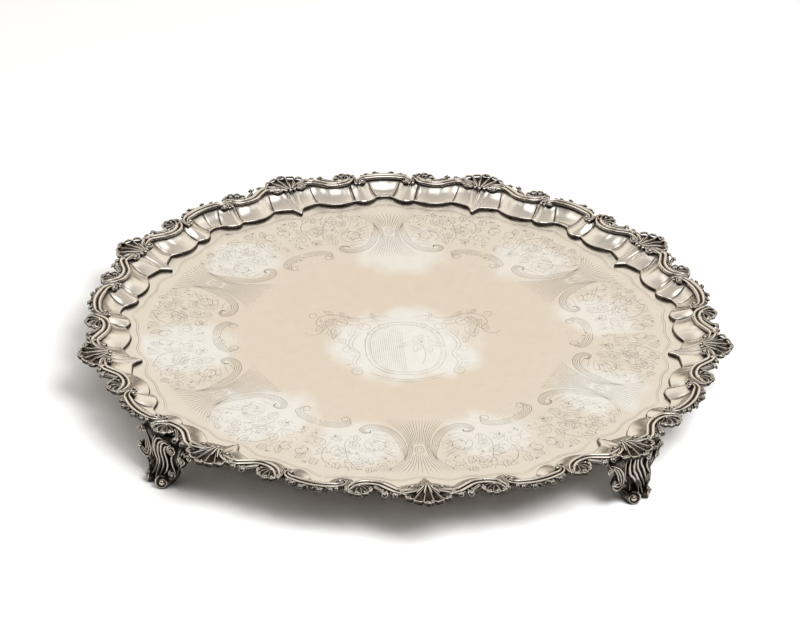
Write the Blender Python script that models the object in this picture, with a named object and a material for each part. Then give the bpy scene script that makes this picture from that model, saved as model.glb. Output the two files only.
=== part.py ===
"""Circular silver salver: a sheet plate with a lobed, panelled edge, a cast border of shells and
scrolls soldered along the rim in eighteen lengths, and four cast bracket feet."""

import math

import bmesh
import bpy

for stale in list(bpy.data.objects):
    bpy.data.objects.remove(stale, do_unlink=True)

# ---------------------------------------------------------------- driving dimensions (metres, degrees)
DIAMETER = 0.560          # across opposite shell tips
SPIKE = 1.238             # shell tip radius as a multiple of the module
U = DIAMETER / 2 / SPIKE  # module all border radii are given in
REPEATS = 9               # shells round the rim
FIRST_SHELL = 110.0       # angle of shell 1
STEP = 360.0 / REPEATS
FLOOR_Z = 0.0318          # upper face of the flat floor above the table
SHEET = 0.0012            # plate thickness
GAP = 0.0003              # fit between soldered pieces

TONGUE = 0.997            # radii of the panel feet, in modules
EDGE_A = 1.038
EDGE_AB = 1.058
EDGE_B = 1.024
EDGE_BC = 1.046
EDGE_C = 1.031
EDGE_CD = 1.070
EDGE_D = 1.078
ANG_AB, ANG_BC, ANG_CD = 5.2, 13.5, 18.3
FLANGE_H = 0.045          # flange height above the floor, in modules
LIP_H = 0.008             # step where the panels stand off the floor

RIDGE_H = 0.0620          # moulding ridge above the floor, in modules
TIP_H = 0.0560            # lobe height above the floor
MOULD_W = 0.034           # moulding width in modules

FOOT_ANGLES = (-50.0, 40.0, 130.0, 220.0)
FOOT_SOLE_R = 1.200 * U
FOOT_TOP_R = 1.172 * U

# outer lobes: angle from the shell, tip radius (modules), angular half width at 0.03 depth
LOBES = (
    (0.0, SPIKE, 1.0), (1.9, 1.226, 1.0), (3.4, 1.206, 1.0), (4.9, 1.182, 1.0), (7.2, 1.187, 1.0),
    (11.0, 1.183, 0.9), (12.3, 1.197, 1.2), (13.5, 1.184, 0.9),
    (16.4, 1.188, 1.1), (18.4, 1.200, 1.2),
)
# moulding centre line: angle from the shell, radius (modules)
CENTRE = (
    (0.0, 1.140), (2.5, 1.140), (5.0, 1.152), (7.0, 1.134), (8.6, 1.116), (10.3, 1.112),
    (12.0, 1.120), (13.3, 1.136), (14.6, 1.124), (15.6, 1.143), (17.5, 1.158), (20.0, 1.164),
)
# foot stations: height, centre radius, half width along the rim, half depth across it
FOOT = (
    (None, FOOT_TOP_R, 0.0330, 0.0055),
    (0.0356, FOOT_TOP_R, 0.0320, 0.0055),
    (0.0296, 1.175 * U, 0.0270, 0.0052),
    (0.0226, 1.178 * U, 0.0225, 0.0050),
    (0.0158, 1.179 * U, 0.0225, 0.0048),
    (0.0116, 1.186 * U, 0.0185, 0.0056),
    (0.0080, FOOT_SOLE_R, 0.0140, 0.0078),
    (0.0028, FOOT_SOLE_R, 0.0125, 0.0070),
    (0.0000, FOOT_SOLE_R, 0.0100, 0.0044),
)
FOOT_SIDES = 12


def fold(angle):
    """Angle from the nearest shell, 0 to 20 degrees."""
    d = (angle - FIRST_SHELL) % STEP
    return min(d, STEP - d)


def ease(x):
    x = max(0.0, min(1.0, x))
    return x * x * (3 - 2 * x)


def along(table, a):
    for (a0, v0), (a1, v1) in zip(table, table[1:]):
        if a <= a1:
            return v0 + (v1 - v0) * ease((a - a0) / (a1 - a0))
    return table[-1][1]


def bow(a, a0, v0, a1, v1, vm):
    """Parabola through both ends that sags to vm at mid span."""
    t = (a - a0) / (a1 - a0)
    base = v0 + (v1 - v0) * t
    sag = (v0 + v1) / 2 - vm
    return base - sag * 4 * t * (1 - t)


def panel_edge(a):
    if a < 1.6:
        return TONGUE + (EDGE_A - TONGUE) * ease(a / 1.6)
    if a < ANG_AB:
        return EDGE_A + (EDGE_AB - EDGE_A) * (a - 1.6) / (ANG_AB - 1.6)
    if a < ANG_BC:
        return bow(a, ANG_AB, EDGE_AB, ANG_BC, EDGE_BC, EDGE_B)
    if a < ANG_CD:
        return bow(a, ANG_BC, EDGE_BC, ANG_CD, EDGE_CD, EDGE_C)
    return EDGE_D + (EDGE_CD - EDGE_D) * ((20 - a) / (20 - ANG_CD)) ** 2


def bulge(a):
    """How far a panel swells between its valleys: 1 in the middle, 0 in a valley."""
    spans = ((-ANG_AB, ANG_AB), (ANG_AB, ANG_BC), (ANG_BC, ANG_CD))
    for a0, a1 in spans:
        if a0 <= a < a1:
            t = (a - a0) / (a1 - a0)
            return (4 * t * (1 - t)) ** 0.5
    return -0.35 * ease((a - ANG_CD) / (20 - ANG_CD))


def centre_line(a):
    return along(CENTRE, a)


def outline(a):
    edge = centre_line(a) + MOULD_W / 2 + 0.002
    for at, tip, half in LOBES:
        for side in (1, -1):
            edge = max(edge, tip - 0.03 * ((a - side * at) / half) ** 2)
    # the crest over the scroll wraps round to its mirror twin
    for at, tip, half in LOBES:
        edge = max(edge, tip - 0.03 * ((a - (STEP - at)) / half) ** 2)
    return edge


def material(name, colour, rough):
    m = bpy.data.materials.new(name)
    m.use_nodes = True
    p = m.node_tree.nodes["Principled BSDF"]
    p.inputs["Base Color"].default_value = (*colour, 1.0)
    p.inputs["Metallic"].default_value = 1.0
    p.inputs["Roughness"].default_value = rough
    return m


def add(name, verts, faces, mat, smooth=True):
    mesh = bpy.data.meshes.new(name)
    mesh.from_pydata(verts, [], faces)
    bm = bmesh.new()
    bm.from_mesh(mesh)
    bmesh.ops.recalc_face_normals(bm, faces=bm.faces)
    bm.to_mesh(mesh)
    bm.free()
    for poly in mesh.polygons:
        poly.use_smooth = smooth
    mesh.materials.append(mat)
    obj = bpy.data.objects.new(name, mesh)
    bpy.context.scene.collection.objects.link(obj)
    return obj


SHELL_OFFSETS = (0.0, 0.95, 1.9, 2.65, 3.4, 4.15, 4.9, 6.0, 7.2, 8.5, 10.3)
SCROLL_OFFSETS = (10.3, 11.0, 11.65, 12.3, 12.95, 13.5, 14.5, 15.4, 16.4, 17.4, 18.4, 20.0)
# an odd number of shells leaves the rim deeper on one side of the axis: move the axis off the
# origin by half the difference, so the outer box is centred
rim_spots = [FIRST_SHELL + STEP * k + s * o for k in range(REPEATS) for o in SHELL_OFFSETS + SCROLL_OFFSETS for s in (1, -1)]
rim_y = [outline(fold(a)) * U * math.sin(math.radians(a)) for a in rim_spots]
AXIS_Y = -(max(rim_y) + min(rim_y)) / 2


def polar(r, angle, z):
    t = math.radians(angle)
    return (r * math.cos(t), r * math.sin(t) + AXIS_Y, z)


# ---------------------------------------------------------------- plate: floor, panelled slope, flange
silver_plate = material("sheet_silver", (0.93, 0.90, 0.85), 0.22)
half = (0.0, 1.6, 3.4, ANG_AB, 7.4, 9.4, 11.4, ANG_BC, 15.9, ANG_CD, 20.0)
offsets = list(half) + [STEP - h for h in reversed(half[1:-1])]
columns = [FIRST_SHELL + STEP * k + o for k in range(REPEATS) for o in offsets]


def plate_column(angle):
    """(radius, height above the floor) of the upper surface, in modules."""
    a = fold(angle)
    foot = panel_edge(a)
    inner = centre_line(a) - MOULD_W / 2 - 0.001
    swell = bulge(a)
    rise = FLANGE_H - LIP_H
    pts = [(foot - 0.006, 0.0), (foot, LIP_H * (0.75 + 0.25 * swell))]
    for t, lift in ((0.35, 0.010), (0.72, 0.009)):
        pts.append((foot + (inner - foot) * t, LIP_H + rise * t ** 1.25 + lift * swell * 0.55))
    pts.append((inner, FLANGE_H))
    pts.append((centre_line(a) + 0.008, FLANGE_H))
    return pts


verts, faces = [], []
n = len(columns)
stations = 6
for under in (0, 1):
    for angle in columns:
        for r, h in plate_column(angle):
            verts.append(polar(r * U, angle, FLOOR_Z + h * U - under * SHEET))
    verts.append((0.0, AXIS_Y, FLOOR_Z - under * SHEET))
side = n * stations + 1


def at(under, i, j):
    return under * side + (i % n) * stations + j


for under in (0, 1):
    hub = under * side + n * stations
    for i in range(n):
        faces.append((hub, at(under, i, 0), at(under, i + 1, 0)))
        for j in range(stations - 1):
            faces.append((at(under, i, j), at(under, i, j + 1), at(under, i + 1, j + 1), at(under, i + 1, j)))
for i in range(n):
    last = stations - 1
    faces.append((at(0, i, last), at(1, i, last), at(1, i + 1, last), at(0, i + 1, last)))
add("plate", verts, faces, silver_plate)

# ---------------------------------------------------------------- cast border: shells and scrolls
cast_shell = material("cast_silver_shells", (0.80, 0.76, 0.70), 0.34)
cast_scroll = material("cast_silver_scrolls", (0.82, 0.78, 0.72), 0.32)
BED = FLANGE_H + GAP / U


def casting(name, centre, offs, mat):
    """One border casting lofted along the rim from left and right joint faces."""
    seam = 0.5 * GAP / (1.12 * U) * 180 / math.pi
    ring, verts, faces = 9, [], []
    for o in offs:
        angle = centre + o
        a = fold(angle)
        if o == offs[0]:
            angle += seam
        if o == offs[-1]:
            angle -= seam
        mid, out = centre_line(a), outline(a)
        inner, outer = mid - MOULD_W / 2, mid + MOULD_W / 2
        profile = (
            (inner, BED), (inner, BED + 0.006), (mid - 0.006, RIDGE_H), (mid + 0.002, RIDGE_H - 0.005),
            (mid + 0.010, RIDGE_H), (outer, TIP_H - 0.003), (out - 0.004, TIP_H), (out, TIP_H - 0.008),
            (outer, BED),
        )
        for r, h in profile:
            verts.append(polar(r * U, angle, FLOOR_Z + h * U))
    count = len(offs)
    for i in range(count - 1):
        for j in range(ring):
            k = (j + 1) % ring
            faces.append((i * ring + j, i * ring + k, (i + 1) * ring + k, (i + 1) * ring + j))
    faces.append(tuple(range(ring)))
    faces.append(tuple((count - 1) * ring + j for j in range(ring)))
    return add(name, verts, faces, mat)


for k in range(REPEATS):
    centre = FIRST_SHELL - STEP * k
    offs = [-o for o in reversed(SHELL_OFFSETS[1:])] + list(SHELL_OFFSETS)
    casting(f"shell_casting_{k + 1}", centre, offs, cast_shell)
    offs = [o - 20.0 for o in SCROLL_OFFSETS]
    offs = offs + [-o for o in reversed(offs[:-1])]
    casting(f"scroll_casting_{k + 1}", centre - 20.0, offs, cast_scroll)

# ---------------------------------------------------------------- feet
cast_foot = material("cast_silver_feet", (0.74, 0.70, 0.64), 0.36)
FOOT_TOP_Z = FLOOR_Z + FLANGE_H * U - SHEET - GAP


def foot(name, angle):
    verts, faces = [], []
    t = math.radians(angle)
    radial, tangent = (math.cos(t), math.sin(t)), (-math.sin(t), math.cos(t))
    for z, r, wide, deep in FOOT:
        z = FOOT_TOP_Z if z is None else z
        for s in range(FOOT_SIDES):
            u = 2 * math.pi * s / FOOT_SIDES
            x = wide * math.copysign(abs(math.cos(u)) ** 0.7, math.cos(u))
            y = deep * math.copysign(abs(math.sin(u)) ** 0.7, math.sin(u))
            verts.append((radial[0] * (r + y) + tangent[0] * x, radial[1] * (r + y) + tangent[1] * x + AXIS_Y, z))
    rows = len(FOOT)
    for i in range(rows - 1):
        for s in range(FOOT_SIDES):
            q = (s + 1) % FOOT_SIDES
            faces.append((i * FOOT_SIDES + s, i * FOOT_SIDES + q, (i + 1) * FOOT_SIDES + q, (i + 1) * FOOT_SIDES + s))
    faces.append(tuple(range(FOOT_SIDES)))
    faces.append(tuple((rows - 1) * FOOT_SIDES + s for s in range(FOOT_SIDES)))
    return add(name, verts, faces, cast_foot)


for i, angle in enumerate(FOOT_ANGLES):
    foot(f"foot_{i + 1}", angle)
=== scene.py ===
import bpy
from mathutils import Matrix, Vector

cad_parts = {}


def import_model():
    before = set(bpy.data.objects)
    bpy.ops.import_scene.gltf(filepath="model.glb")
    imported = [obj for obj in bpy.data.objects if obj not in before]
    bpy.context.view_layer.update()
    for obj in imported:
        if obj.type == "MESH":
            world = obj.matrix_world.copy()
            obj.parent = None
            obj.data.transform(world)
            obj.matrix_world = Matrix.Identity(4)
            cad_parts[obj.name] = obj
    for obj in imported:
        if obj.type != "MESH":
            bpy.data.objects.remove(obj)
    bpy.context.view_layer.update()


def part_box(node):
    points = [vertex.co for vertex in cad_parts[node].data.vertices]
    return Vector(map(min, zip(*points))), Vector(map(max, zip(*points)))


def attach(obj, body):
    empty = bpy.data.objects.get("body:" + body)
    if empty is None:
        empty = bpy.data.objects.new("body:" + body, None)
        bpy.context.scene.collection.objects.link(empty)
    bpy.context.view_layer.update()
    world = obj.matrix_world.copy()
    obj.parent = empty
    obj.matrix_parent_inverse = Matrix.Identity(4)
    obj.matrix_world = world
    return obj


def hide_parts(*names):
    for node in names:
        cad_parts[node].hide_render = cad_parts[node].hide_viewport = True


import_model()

import math
import random

import bmesh
import bpy
import numpy as np
from mathutils import Matrix, Vector, geometry, kdtree
from mathutils.bvhtree import BVHTree

# ------------------------------------------------------------------ dimensions shared with the CAD
U = 0.560 / 2 / 1.238        # module: radii below are multiples of it
FLOOR = 0.0318               # upper face of the tray floor
SHEET = 0.0012
STEP = 40.0
FIRST = 110.0
FLANGE = 0.045
BED = FLANGE + 0.0003 / U
TOP = 0.0619                 # highest point of the border above the floor
MOULD = 0.0172               # half width of the moulding
SPLIT = 10.3
FEET = (-50.0, 40.0, 130.0, 220.0)
SOLE_R = 1.187
AXIS = Vector((0.0, sum((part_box(f"foot_{i + 1}")[0][1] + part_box(f"foot_{i + 1}")[1][1]) / 2 for i in range(4)) / 4, 0.0))

TONGUE, EDGE_A, EDGE_AB, EDGE_B, EDGE_BC, EDGE_C, EDGE_CD, EDGE_D = 0.997, 1.038, 1.058, 1.024, 1.046, 1.031, 1.070, 1.078
ANG_AB, ANG_BC, ANG_CD = 5.2, 13.5, 18.3
CENTRE = (
    (0.0, 1.140), (2.5, 1.140), (5.0, 1.152), (7.0, 1.134), (8.6, 1.116), (10.3, 1.112),
    (12.0, 1.120), (13.3, 1.136), (14.6, 1.124), (15.6, 1.143), (17.5, 1.158), (20.0, 1.164),
)
D2R = math.pi / 180


def ease(x):
    x = np.clip(x, 0.0, 1.0)
    return x * x * (3 - 2 * x)


def centre_line(a):
    a = abs(a)
    for (a0, v0), (a1, v1) in zip(CENTRE, CENTRE[1:]):
        if a <= a1:
            return v0 + (v1 - v0) * float(ease((a - a0) / (a1 - a0)))
    return CENTRE[-1][1]


def bow(a, a0, v0, a1, v1, vm):
    t = (a - a0) / (a1 - a0)
    return v0 + (v1 - v0) * t - ((v0 + v1) / 2 - vm) * 4 * t * (1 - t)


def panel_edge(a):
    a = abs(a)
    if a < 1.6:
        return TONGUE + (EDGE_A - TONGUE) * float(ease(a / 1.6)) ** 0.8
    if a < ANG_AB:
        return EDGE_A + (EDGE_AB - EDGE_A) * (a - 1.6) / (ANG_AB - 1.6)
    if a < ANG_BC:
        return bow(a, ANG_AB, EDGE_AB, ANG_BC, EDGE_BC, EDGE_B)
    if a < ANG_CD:
        return bow(a, ANG_BC, EDGE_BC, ANG_CD, EDGE_CD, EDGE_C)
    return EDGE_D + (EDGE_CD - EDGE_D) * ((20 - a) / (20 - ANG_CD)) ** 2


def fold(a):
    d = (a - FIRST) % STEP
    return min(d, STEP - d)


# ------------------------------------------------------------------ mesh helpers
class Bag:
    """Collects closed shells of geometry for one piece, with a darkening value per vertex for oxide and painted shade.
    """

    def __init__(self):
        self.v, self.f, self.c, self.n = [], [], [], 0

    def add(self, v, f, c):
        v = np.asarray(v, float)
        self.v.append(v)
        self.c.append(np.broadcast_to(np.asarray(c, float), (len(v),)))
        n = self.n
        self.f.extend([tuple(int(i) + n for i in face) for face in f])
        self.n += len(v)

    def arrays(self):
        return np.concatenate(self.v), self.f, np.concatenate(self.c)

    def add_bag(self, other, turn=0.0, flip=False):
        v, f, c = other.arrays()
        v = v.copy()
        if flip:
            v[:, 1] = -v[:, 1]
            f = [face[::-1] for face in f]
        if turn:
            v = spin(v, turn)
        self.add(v, f, c)


def spin(v, deg):
    c, s = math.cos(deg * D2R), math.sin(deg * D2R)
    out = np.array(v, float)
    out[:, 0], out[:, 1] = v[:, 0] * c - v[:, 1] * s, v[:, 0] * s + v[:, 1] * c
    return out


def grid_faces(rows, cols, wrap=False, off=0):
    f = []
    for i in range(rows - 1):
        for j in range(cols if wrap else cols - 1):
            k = (j + 1) % cols
            f.append((off + i * cols + j, off + i * cols + k, off + (i + 1) * cols + k, off + (i + 1) * cols + j))
    return f


def spline(ctrl, n):
    p = np.asarray(ctrl, float)
    p = np.vstack([2 * p[0] - p[1], p, 2 * p[-1] - p[-2]])
    k = len(p) - 3
    t = np.linspace(0, k, n)
    i = np.minimum(t.astype(int), k - 1)
    u = (t - i)[:, None]
    a, b, c, d = p[i], p[i + 1], p[i + 2], p[i + 3]
    return 0.5 * (2 * b + (c - a) * u + (2 * a - 5 * b + 4 * c - d) * u * u + (3 * b - a - 3 * c + d) * u ** 3)


def pol(r, a):
    """Plan position in metres from module radius and degrees (numpy arrays or numbers)."""
    t = np.asarray(a, float) * D2R
    return np.stack([np.asarray(r) * U * np.cos(t), np.asarray(r) * U * np.sin(t)], -1)


def tube(bag, pts, prof, width, height, up=None, cav=None):
    """Sweeps a closed profile (across, up) along 3-D points. width and height scale it per point."""
    pts = np.asarray(pts, float)
    prof = np.asarray(prof, float)
    n, m = len(pts), len(prof)
    t = np.gradient(pts, axis=0)
    t /= np.linalg.norm(t, axis=1)[:, None] + 1e-12
    up = np.broadcast_to(np.array([0, 0, 1.0]) if up is None else np.asarray(up, float), (n, 3))
    side = np.cross(up, t)
    side /= np.linalg.norm(side, axis=1)[:, None] + 1e-12
    lift = np.cross(t, side)
    w = np.broadcast_to(width, (n,))[:, None, None]
    h = np.broadcast_to(height, (n,))[:, None, None]
    v = pts[:, None, :] + side[:, None, :] * prof[None, :, 0:1] * w + lift[:, None, :] * prof[None, :, 1:2] * h
    f = grid_faces(n, m, wrap=True)
    f.append(tuple(range(m))[::-1])
    f.append(tuple((n - 1) * m + j for j in range(m)))
    c = prof[:, 2] if prof.shape[1] > 2 else np.zeros(m)
    c = np.broadcast_to(c[None, :], (n, m)).copy()
    if cav is not None:
        c = np.clip(c + np.asarray(cav)[:, None], 0, 1)
    bag.add(v.reshape(-1, 3), f, c.reshape(-1))


def round_profile(k=8, squash=1.0, low_shade=0.85):
    out = []
    for i in range(k):
        a = 2 * math.pi * (i + 0.5) / k
        u, v = math.cos(a), math.sin(a)
        # the lower half of the section is darker: painted shade under the tube
        out.append((u, v * squash, float(np.clip(0.5 - 0.9 * v, 0, 1)) * low_shade))
    return out


def ball(bag, c, r, seg=10, rings=7, squash=1.0, dark=0.8):
    v = [(c[0], c[1], c[2] + r * squash)]
    cav = [0.0]
    for i in range(1, rings):
        a = math.pi * i / rings
        for j in range(seg):
            b = 2 * math.pi * j / seg
            v.append((c[0] + r * math.sin(a) * math.cos(b), c[1] + r * math.sin(a) * math.sin(b), c[2] + r * squash * math.cos(a)))
            # lower half of the bead darker, darkest at its bottom: painted shade under it
            cav.append(dark * max(0.0, -math.cos(a)))
    v.append((c[0], c[1], c[2] - r * squash))
    cav.append(dark)
    f = [(0, 1 + j, 1 + (j + 1) % seg) for j in range(seg)]
    f += grid_faces(rings - 1, seg, wrap=True, off=1)
    f = [x if len(x) == 3 else x[::-1] for x in f]
    last = 1 + (rings - 2) * seg
    f += [(len(v) - 1, last + (j + 1) % seg, last + j) for j in range(seg)]
    bag.add(v, f, cav)


def curl(bag, c, normal, radius, start, turns=1.35, thick=0.55, eye=0.42, steps=26, hand=1, dark=0.0):
    """A small volute: a tapering coil in the plane square to normal, with a bead at its eye.
    start is the direction the coil opens towards."""
    nrm = Vector(normal).normalized()
    e1 = Vector(start)
    e1 = (e1 - nrm * e1.dot(nrm)).normalized()
    e2 = nrm.cross(e1) * hand
    c = Vector(c)
    pts, rad = [], []
    for i in range(steps):
        t = i / (steps - 1)
        ang = 2 * math.pi * turns * t
        r = radius * (1 - 0.62 * t)
        pts.append(c + (e1 * math.cos(ang) + e2 * math.sin(ang)) * r + nrm * (radius * 0.22 * t))
        rad.append(radius * 0.27 * thick / 0.55 * (1 - 0.45 * t))
    tube(bag, [tuple(p) for p in pts], round_profile(6, 1.0, 0.5), np.array(rad), np.array(rad), up=tuple(nrm), cav=np.full(steps, dark))
    e = c + nrm * (radius * 0.26)
    ball(bag, e, radius * eye, 9, 6, dark=0.5)


def hemisphere(n):
    out = []
    for i in range(n):
        z = (i + 0.5) / n
        a = i * 2.399963
        r = math.sqrt(1 - z * z)
        out.append(Vector((r * math.cos(a), r * math.sin(a), z)))
    return out


RAYS = hemisphere(22)


def occlude(bag, reach=0.006, gain=1.5, keep=0.55, under=0.30, floor_z=None, outward=None, shade=0.0):
    """Darkens a template where its own relief hides it: oxide in the hollows and painted shade, with painted shade also
    on downward faces and on faces turned outward.
    """
    v, f, c = bag.arrays()
    bm = bmesh.new()
    vs = [bm.verts.new(p) for p in v.tolist()]
    for face in f:
        try:
            bm.faces.new([vs[i] for i in face])
        except ValueError:
            pass
    bmesh.ops.recalc_face_normals(bm, faces=bm.faces)
    bm.normal_update()
    tree = BVHTree.FromBMesh(bm)
    out = np.empty(len(v))
    for i, vert in enumerate(bm.verts):
        n = vert.normal
        if n.length < 0.5:
            out[i] = c[i] * keep
            continue
        t = n.orthogonal().normalized()
        b = n.cross(t)
        o = vert.co + n * 0.00018
        hit = 0.0
        for r in RAYS:
            d = t * r.x + b * r.y + n * r.z
            _, _, _, dist = tree.ray_cast(o, d, reach)
            if dist is not None:
                hit += 1 - 0.6 * dist / reach
            elif floor_z is not None and d.z < -0.05 and (floor_z - o.z) / d.z < reach:
                hit += 0.5
        occ = hit / len(RAYS)
        side = max(0.0, n.dot(outward) - 0.25) if outward is not None else 0.0
        # occlusion: oxide and painted shade; downward faces and outward faces: painted shade
        out[i] = min(1.0, max(0.0, gain * occ - 0.20) + keep * c[i] + under * max(0.0, -n.z - 0.1) + shade * side)
    bm.free()
    return v, f, np.clip(out, 0, 1)


# ------------------------------------------------------------------ materials
def silver(name, base, tint, rough, bump, scale, patina_shade_colour=(0.040, 0.027, 0.018), painted_glare=None, tarnish=None):
    """Metal whose colour darkens with a per-vertex mask of oxide in the hollows and painted shade, broken up by
    procedural wear.
    """
    m = bpy.data.materials.new(name)
    m.use_nodes = True
    nt = m.node_tree
    nt.nodes.clear()
    N, L = nt.nodes.new, nt.links.new
    out = N("ShaderNodeOutputMaterial")
    p = N("ShaderNodeBsdfPrincipled")
    L(p.outputs[0], out.inputs[0])
    p.inputs["Metallic"].default_value = 1.0
    co = N("ShaderNodeTexCoord")
    big = N("ShaderNodeTexNoise")
    big.inputs["Scale"].default_value = 9.0
    big.inputs["Detail"].default_value = 5.0
    L(co.outputs["Object"], big.inputs["Vector"])
    fine = N("ShaderNodeTexNoise")
    fine.inputs["Scale"].default_value = scale
    fine.inputs["Detail"].default_value = 6.0
    fine.inputs["Roughness"].default_value = 0.65
    L(co.outputs["Object"], fine.inputs["Vector"])
    tone = N("ShaderNodeMix")
    tone.data_type = "RGBA"
    tone.inputs[6].default_value = (*base, 1)
    tone.inputs[7].default_value = (*tint, 1)
    L(big.outputs["Fac"], tone.inputs[0])
    if tarnish is not None:
        # yellowed middle of the floor, uneven, with faint straight rubbing marks
        dist = N("ShaderNodeVectorMath")
        dist.operation = "DISTANCE"
        dist.inputs[1].default_value = (AXIS[0], AXIS[1], FLOOR)
        L(co.outputs["Object"], dist.inputs[0])
        wave = N("ShaderNodeMath")
        wave.operation = "MULTIPLY_ADD"
        wave.inputs[1].default_value = 0.045
        L(big.outputs["Fac"], wave.inputs[0])
        L(dist.outputs["Value"], wave.inputs[2])
        ring = N("ShaderNodeMapRange")
        ring.interpolation_type = "SMOOTHSTEP"
        ring.inputs[1].default_value, ring.inputs[2].default_value = 0.212, 0.138
        L(wave.outputs[0], ring.inputs[0])
        stretch = N("ShaderNodeMapping")
        stretch.inputs["Rotation"].default_value = (0, 0, 0.5)
        stretch.inputs["Scale"].default_value = (12, 220, 1)
        L(co.outputs["Object"], stretch.inputs[0])
        rub = N("ShaderNodeTexNoise")
        rub.inputs["Scale"].default_value = 1.0
        rub.inputs["Detail"].default_value = 3.0
        L(stretch.outputs[0], rub.inputs["Vector"])
        amount = N("ShaderNodeMath")
        amount.operation = "MULTIPLY_ADD"
        amount.inputs[1].default_value = 0.30
        amount.inputs[2].default_value = -0.15
        L(rub.outputs["Fac"], amount.inputs[0])
        stain = N("ShaderNodeMath")
        stain.operation = "ADD"
        stain.use_clamp = True
        L(ring.outputs[0], stain.inputs[0])
        L(amount.outputs[0], stain.inputs[1])
        old = N("ShaderNodeMix")
        old.data_type = "RGBA"
        old.inputs[7].default_value = (*tarnish, 1)
        L(stain.outputs[0], old.inputs[0])
        L(tone.outputs[2], old.inputs[6])
        tone = old
    rec = N("ShaderNodeAttribute")
    rec.attribute_name = "patina_and_shade"
    patina_shade_noise = N("ShaderNodeMath")
    patina_shade_noise.operation = "MULTIPLY_ADD"
    patina_shade_noise.inputs[1].default_value = 0.55
    patina_shade_noise.inputs[2].default_value = -0.275
    L(fine.outputs["Fac"], patina_shade_noise.inputs[0])
    level = N("ShaderNodeMath")
    level.operation = "ADD"
    level.use_clamp = True
    L(rec.outputs["Fac"], level.inputs[0])
    # the noise only spreads the oxide and painted shade where the mask already has some
    gate = N("ShaderNodeMath")
    gate.operation = "MULTIPLY"
    L(patina_shade_noise.outputs[0], gate.inputs[0])
    L(rec.outputs["Fac"], gate.inputs[1])
    L(gate.outputs[0], level.inputs[1])
    # mix towards the dark colour: oxide in the hollows and painted shade
    dark = N("ShaderNodeMix")
    dark.data_type = "RGBA"
    dark.inputs[7].default_value = (*patina_shade_colour, 1)
    L(level.outputs[0], dark.inputs[0])
    L(tone.outputs[2], dark.inputs[6])
    last = dark
    r = N("ShaderNodeMath")
    r.operation = "MULTIPLY_ADD"
    r.inputs[1].default_value = 0.16
    r.inputs[2].default_value = rough - 0.08
    L(fine.outputs["Fac"], r.inputs[0])
    r2 = N("ShaderNodeMath")
    r2.operation = "MULTIPLY_ADD"
    r2.inputs[1].default_value = 0.30
    r2.use_clamp = True
    L(level.outputs[0], r2.inputs[0])
    L(r.outputs[0], r2.inputs[2])
    rough_out = r2
    # painted glare: whiter, rougher, less metallic patches standing in for reflections on the floor
    if painted_glare is not None:
        fr = N("ShaderNodeAttribute")
        fr.attribute_name = "painted_glare"
        white = N("ShaderNodeMix")
        white.data_type = "RGBA"
        white.inputs[7].default_value = (*painted_glare, 1)
        soft = N("ShaderNodeMath")
        soft.operation = "MULTIPLY"
        L(fr.outputs["Fac"], soft.inputs[0])
        inv = N("ShaderNodeMath")
        inv.operation = "SUBTRACT"
        inv.inputs[0].default_value = 1.0
        L(level.outputs[0], inv.inputs[1])
        L(inv.outputs[0], soft.inputs[1])
        L(soft.outputs[0], white.inputs[0])
        L(last.outputs[2], white.inputs[6])
        last = white
        less = N("ShaderNodeMath")
        less.operation = "MULTIPLY_ADD"
        less.inputs[1].default_value = -0.26
        less.inputs[2].default_value = 1.0
        L(soft.outputs[0], less.inputs[0])
        L(less.outputs[0], p.inputs["Metallic"])
        r3 = N("ShaderNodeMath")
        r3.operation = "MULTIPLY_ADD"
        r3.inputs[1].default_value = 0.05
        r3.use_clamp = True
        L(soft.outputs[0], r3.inputs[0])
        L(r2.outputs[0], r3.inputs[2])
        rough_out = r3
    L(last.outputs[2], p.inputs["Base Color"])
    L(rough_out.outputs[0], p.inputs["Roughness"])
    b = N("ShaderNodeBump")
    b.inputs["Strength"].default_value = bump
    b.inputs["Distance"].default_value = 0.0004
    L(fine.outputs["Fac"], b.inputs["Height"])
    L(b.outputs[0], p.inputs["Normal"])
    return m


SHEET_MAT = silver("floor_silver", (0.95, 0.92, 0.865), (0.93, 0.885, 0.82), 0.30, 0.008, 120.0, patina_shade_colour=(0.13, 0.10, 0.075), painted_glare=(0.95, 0.985, 1.0), tarnish=(0.93, 0.862, 0.77))
PANEL_MAT = silver("panel_silver", (0.97, 0.935, 0.88), (0.94, 0.895, 0.83), 0.24, 0.01, 200.0, patina_shade_colour=(0.05, 0.034, 0.024))
CAST_MAT = silver("cast_silver", (0.97, 0.935, 0.88), (0.90, 0.84, 0.76), 0.15, 0.08, 420.0, patina_shade_colour=(0.030, 0.020, 0.014))
# a darker copy of the cast silver: painted shade on the feet under the border, with oxide
FOOT_MAT = silver("foot_silver", (0.70, 0.645, 0.575), (0.46, 0.40, 0.335), 0.16, 0.10, 420.0, patina_shade_colour=(0.022, 0.014, 0.009))
# underside coloured dark brown so the shadow under the tray is deeper: painted shade
UNDER_MAT = silver("underside_silver", (0.40, 0.345, 0.285), (0.30, 0.25, 0.20), 0.40, 0.10, 180.0)


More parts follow.
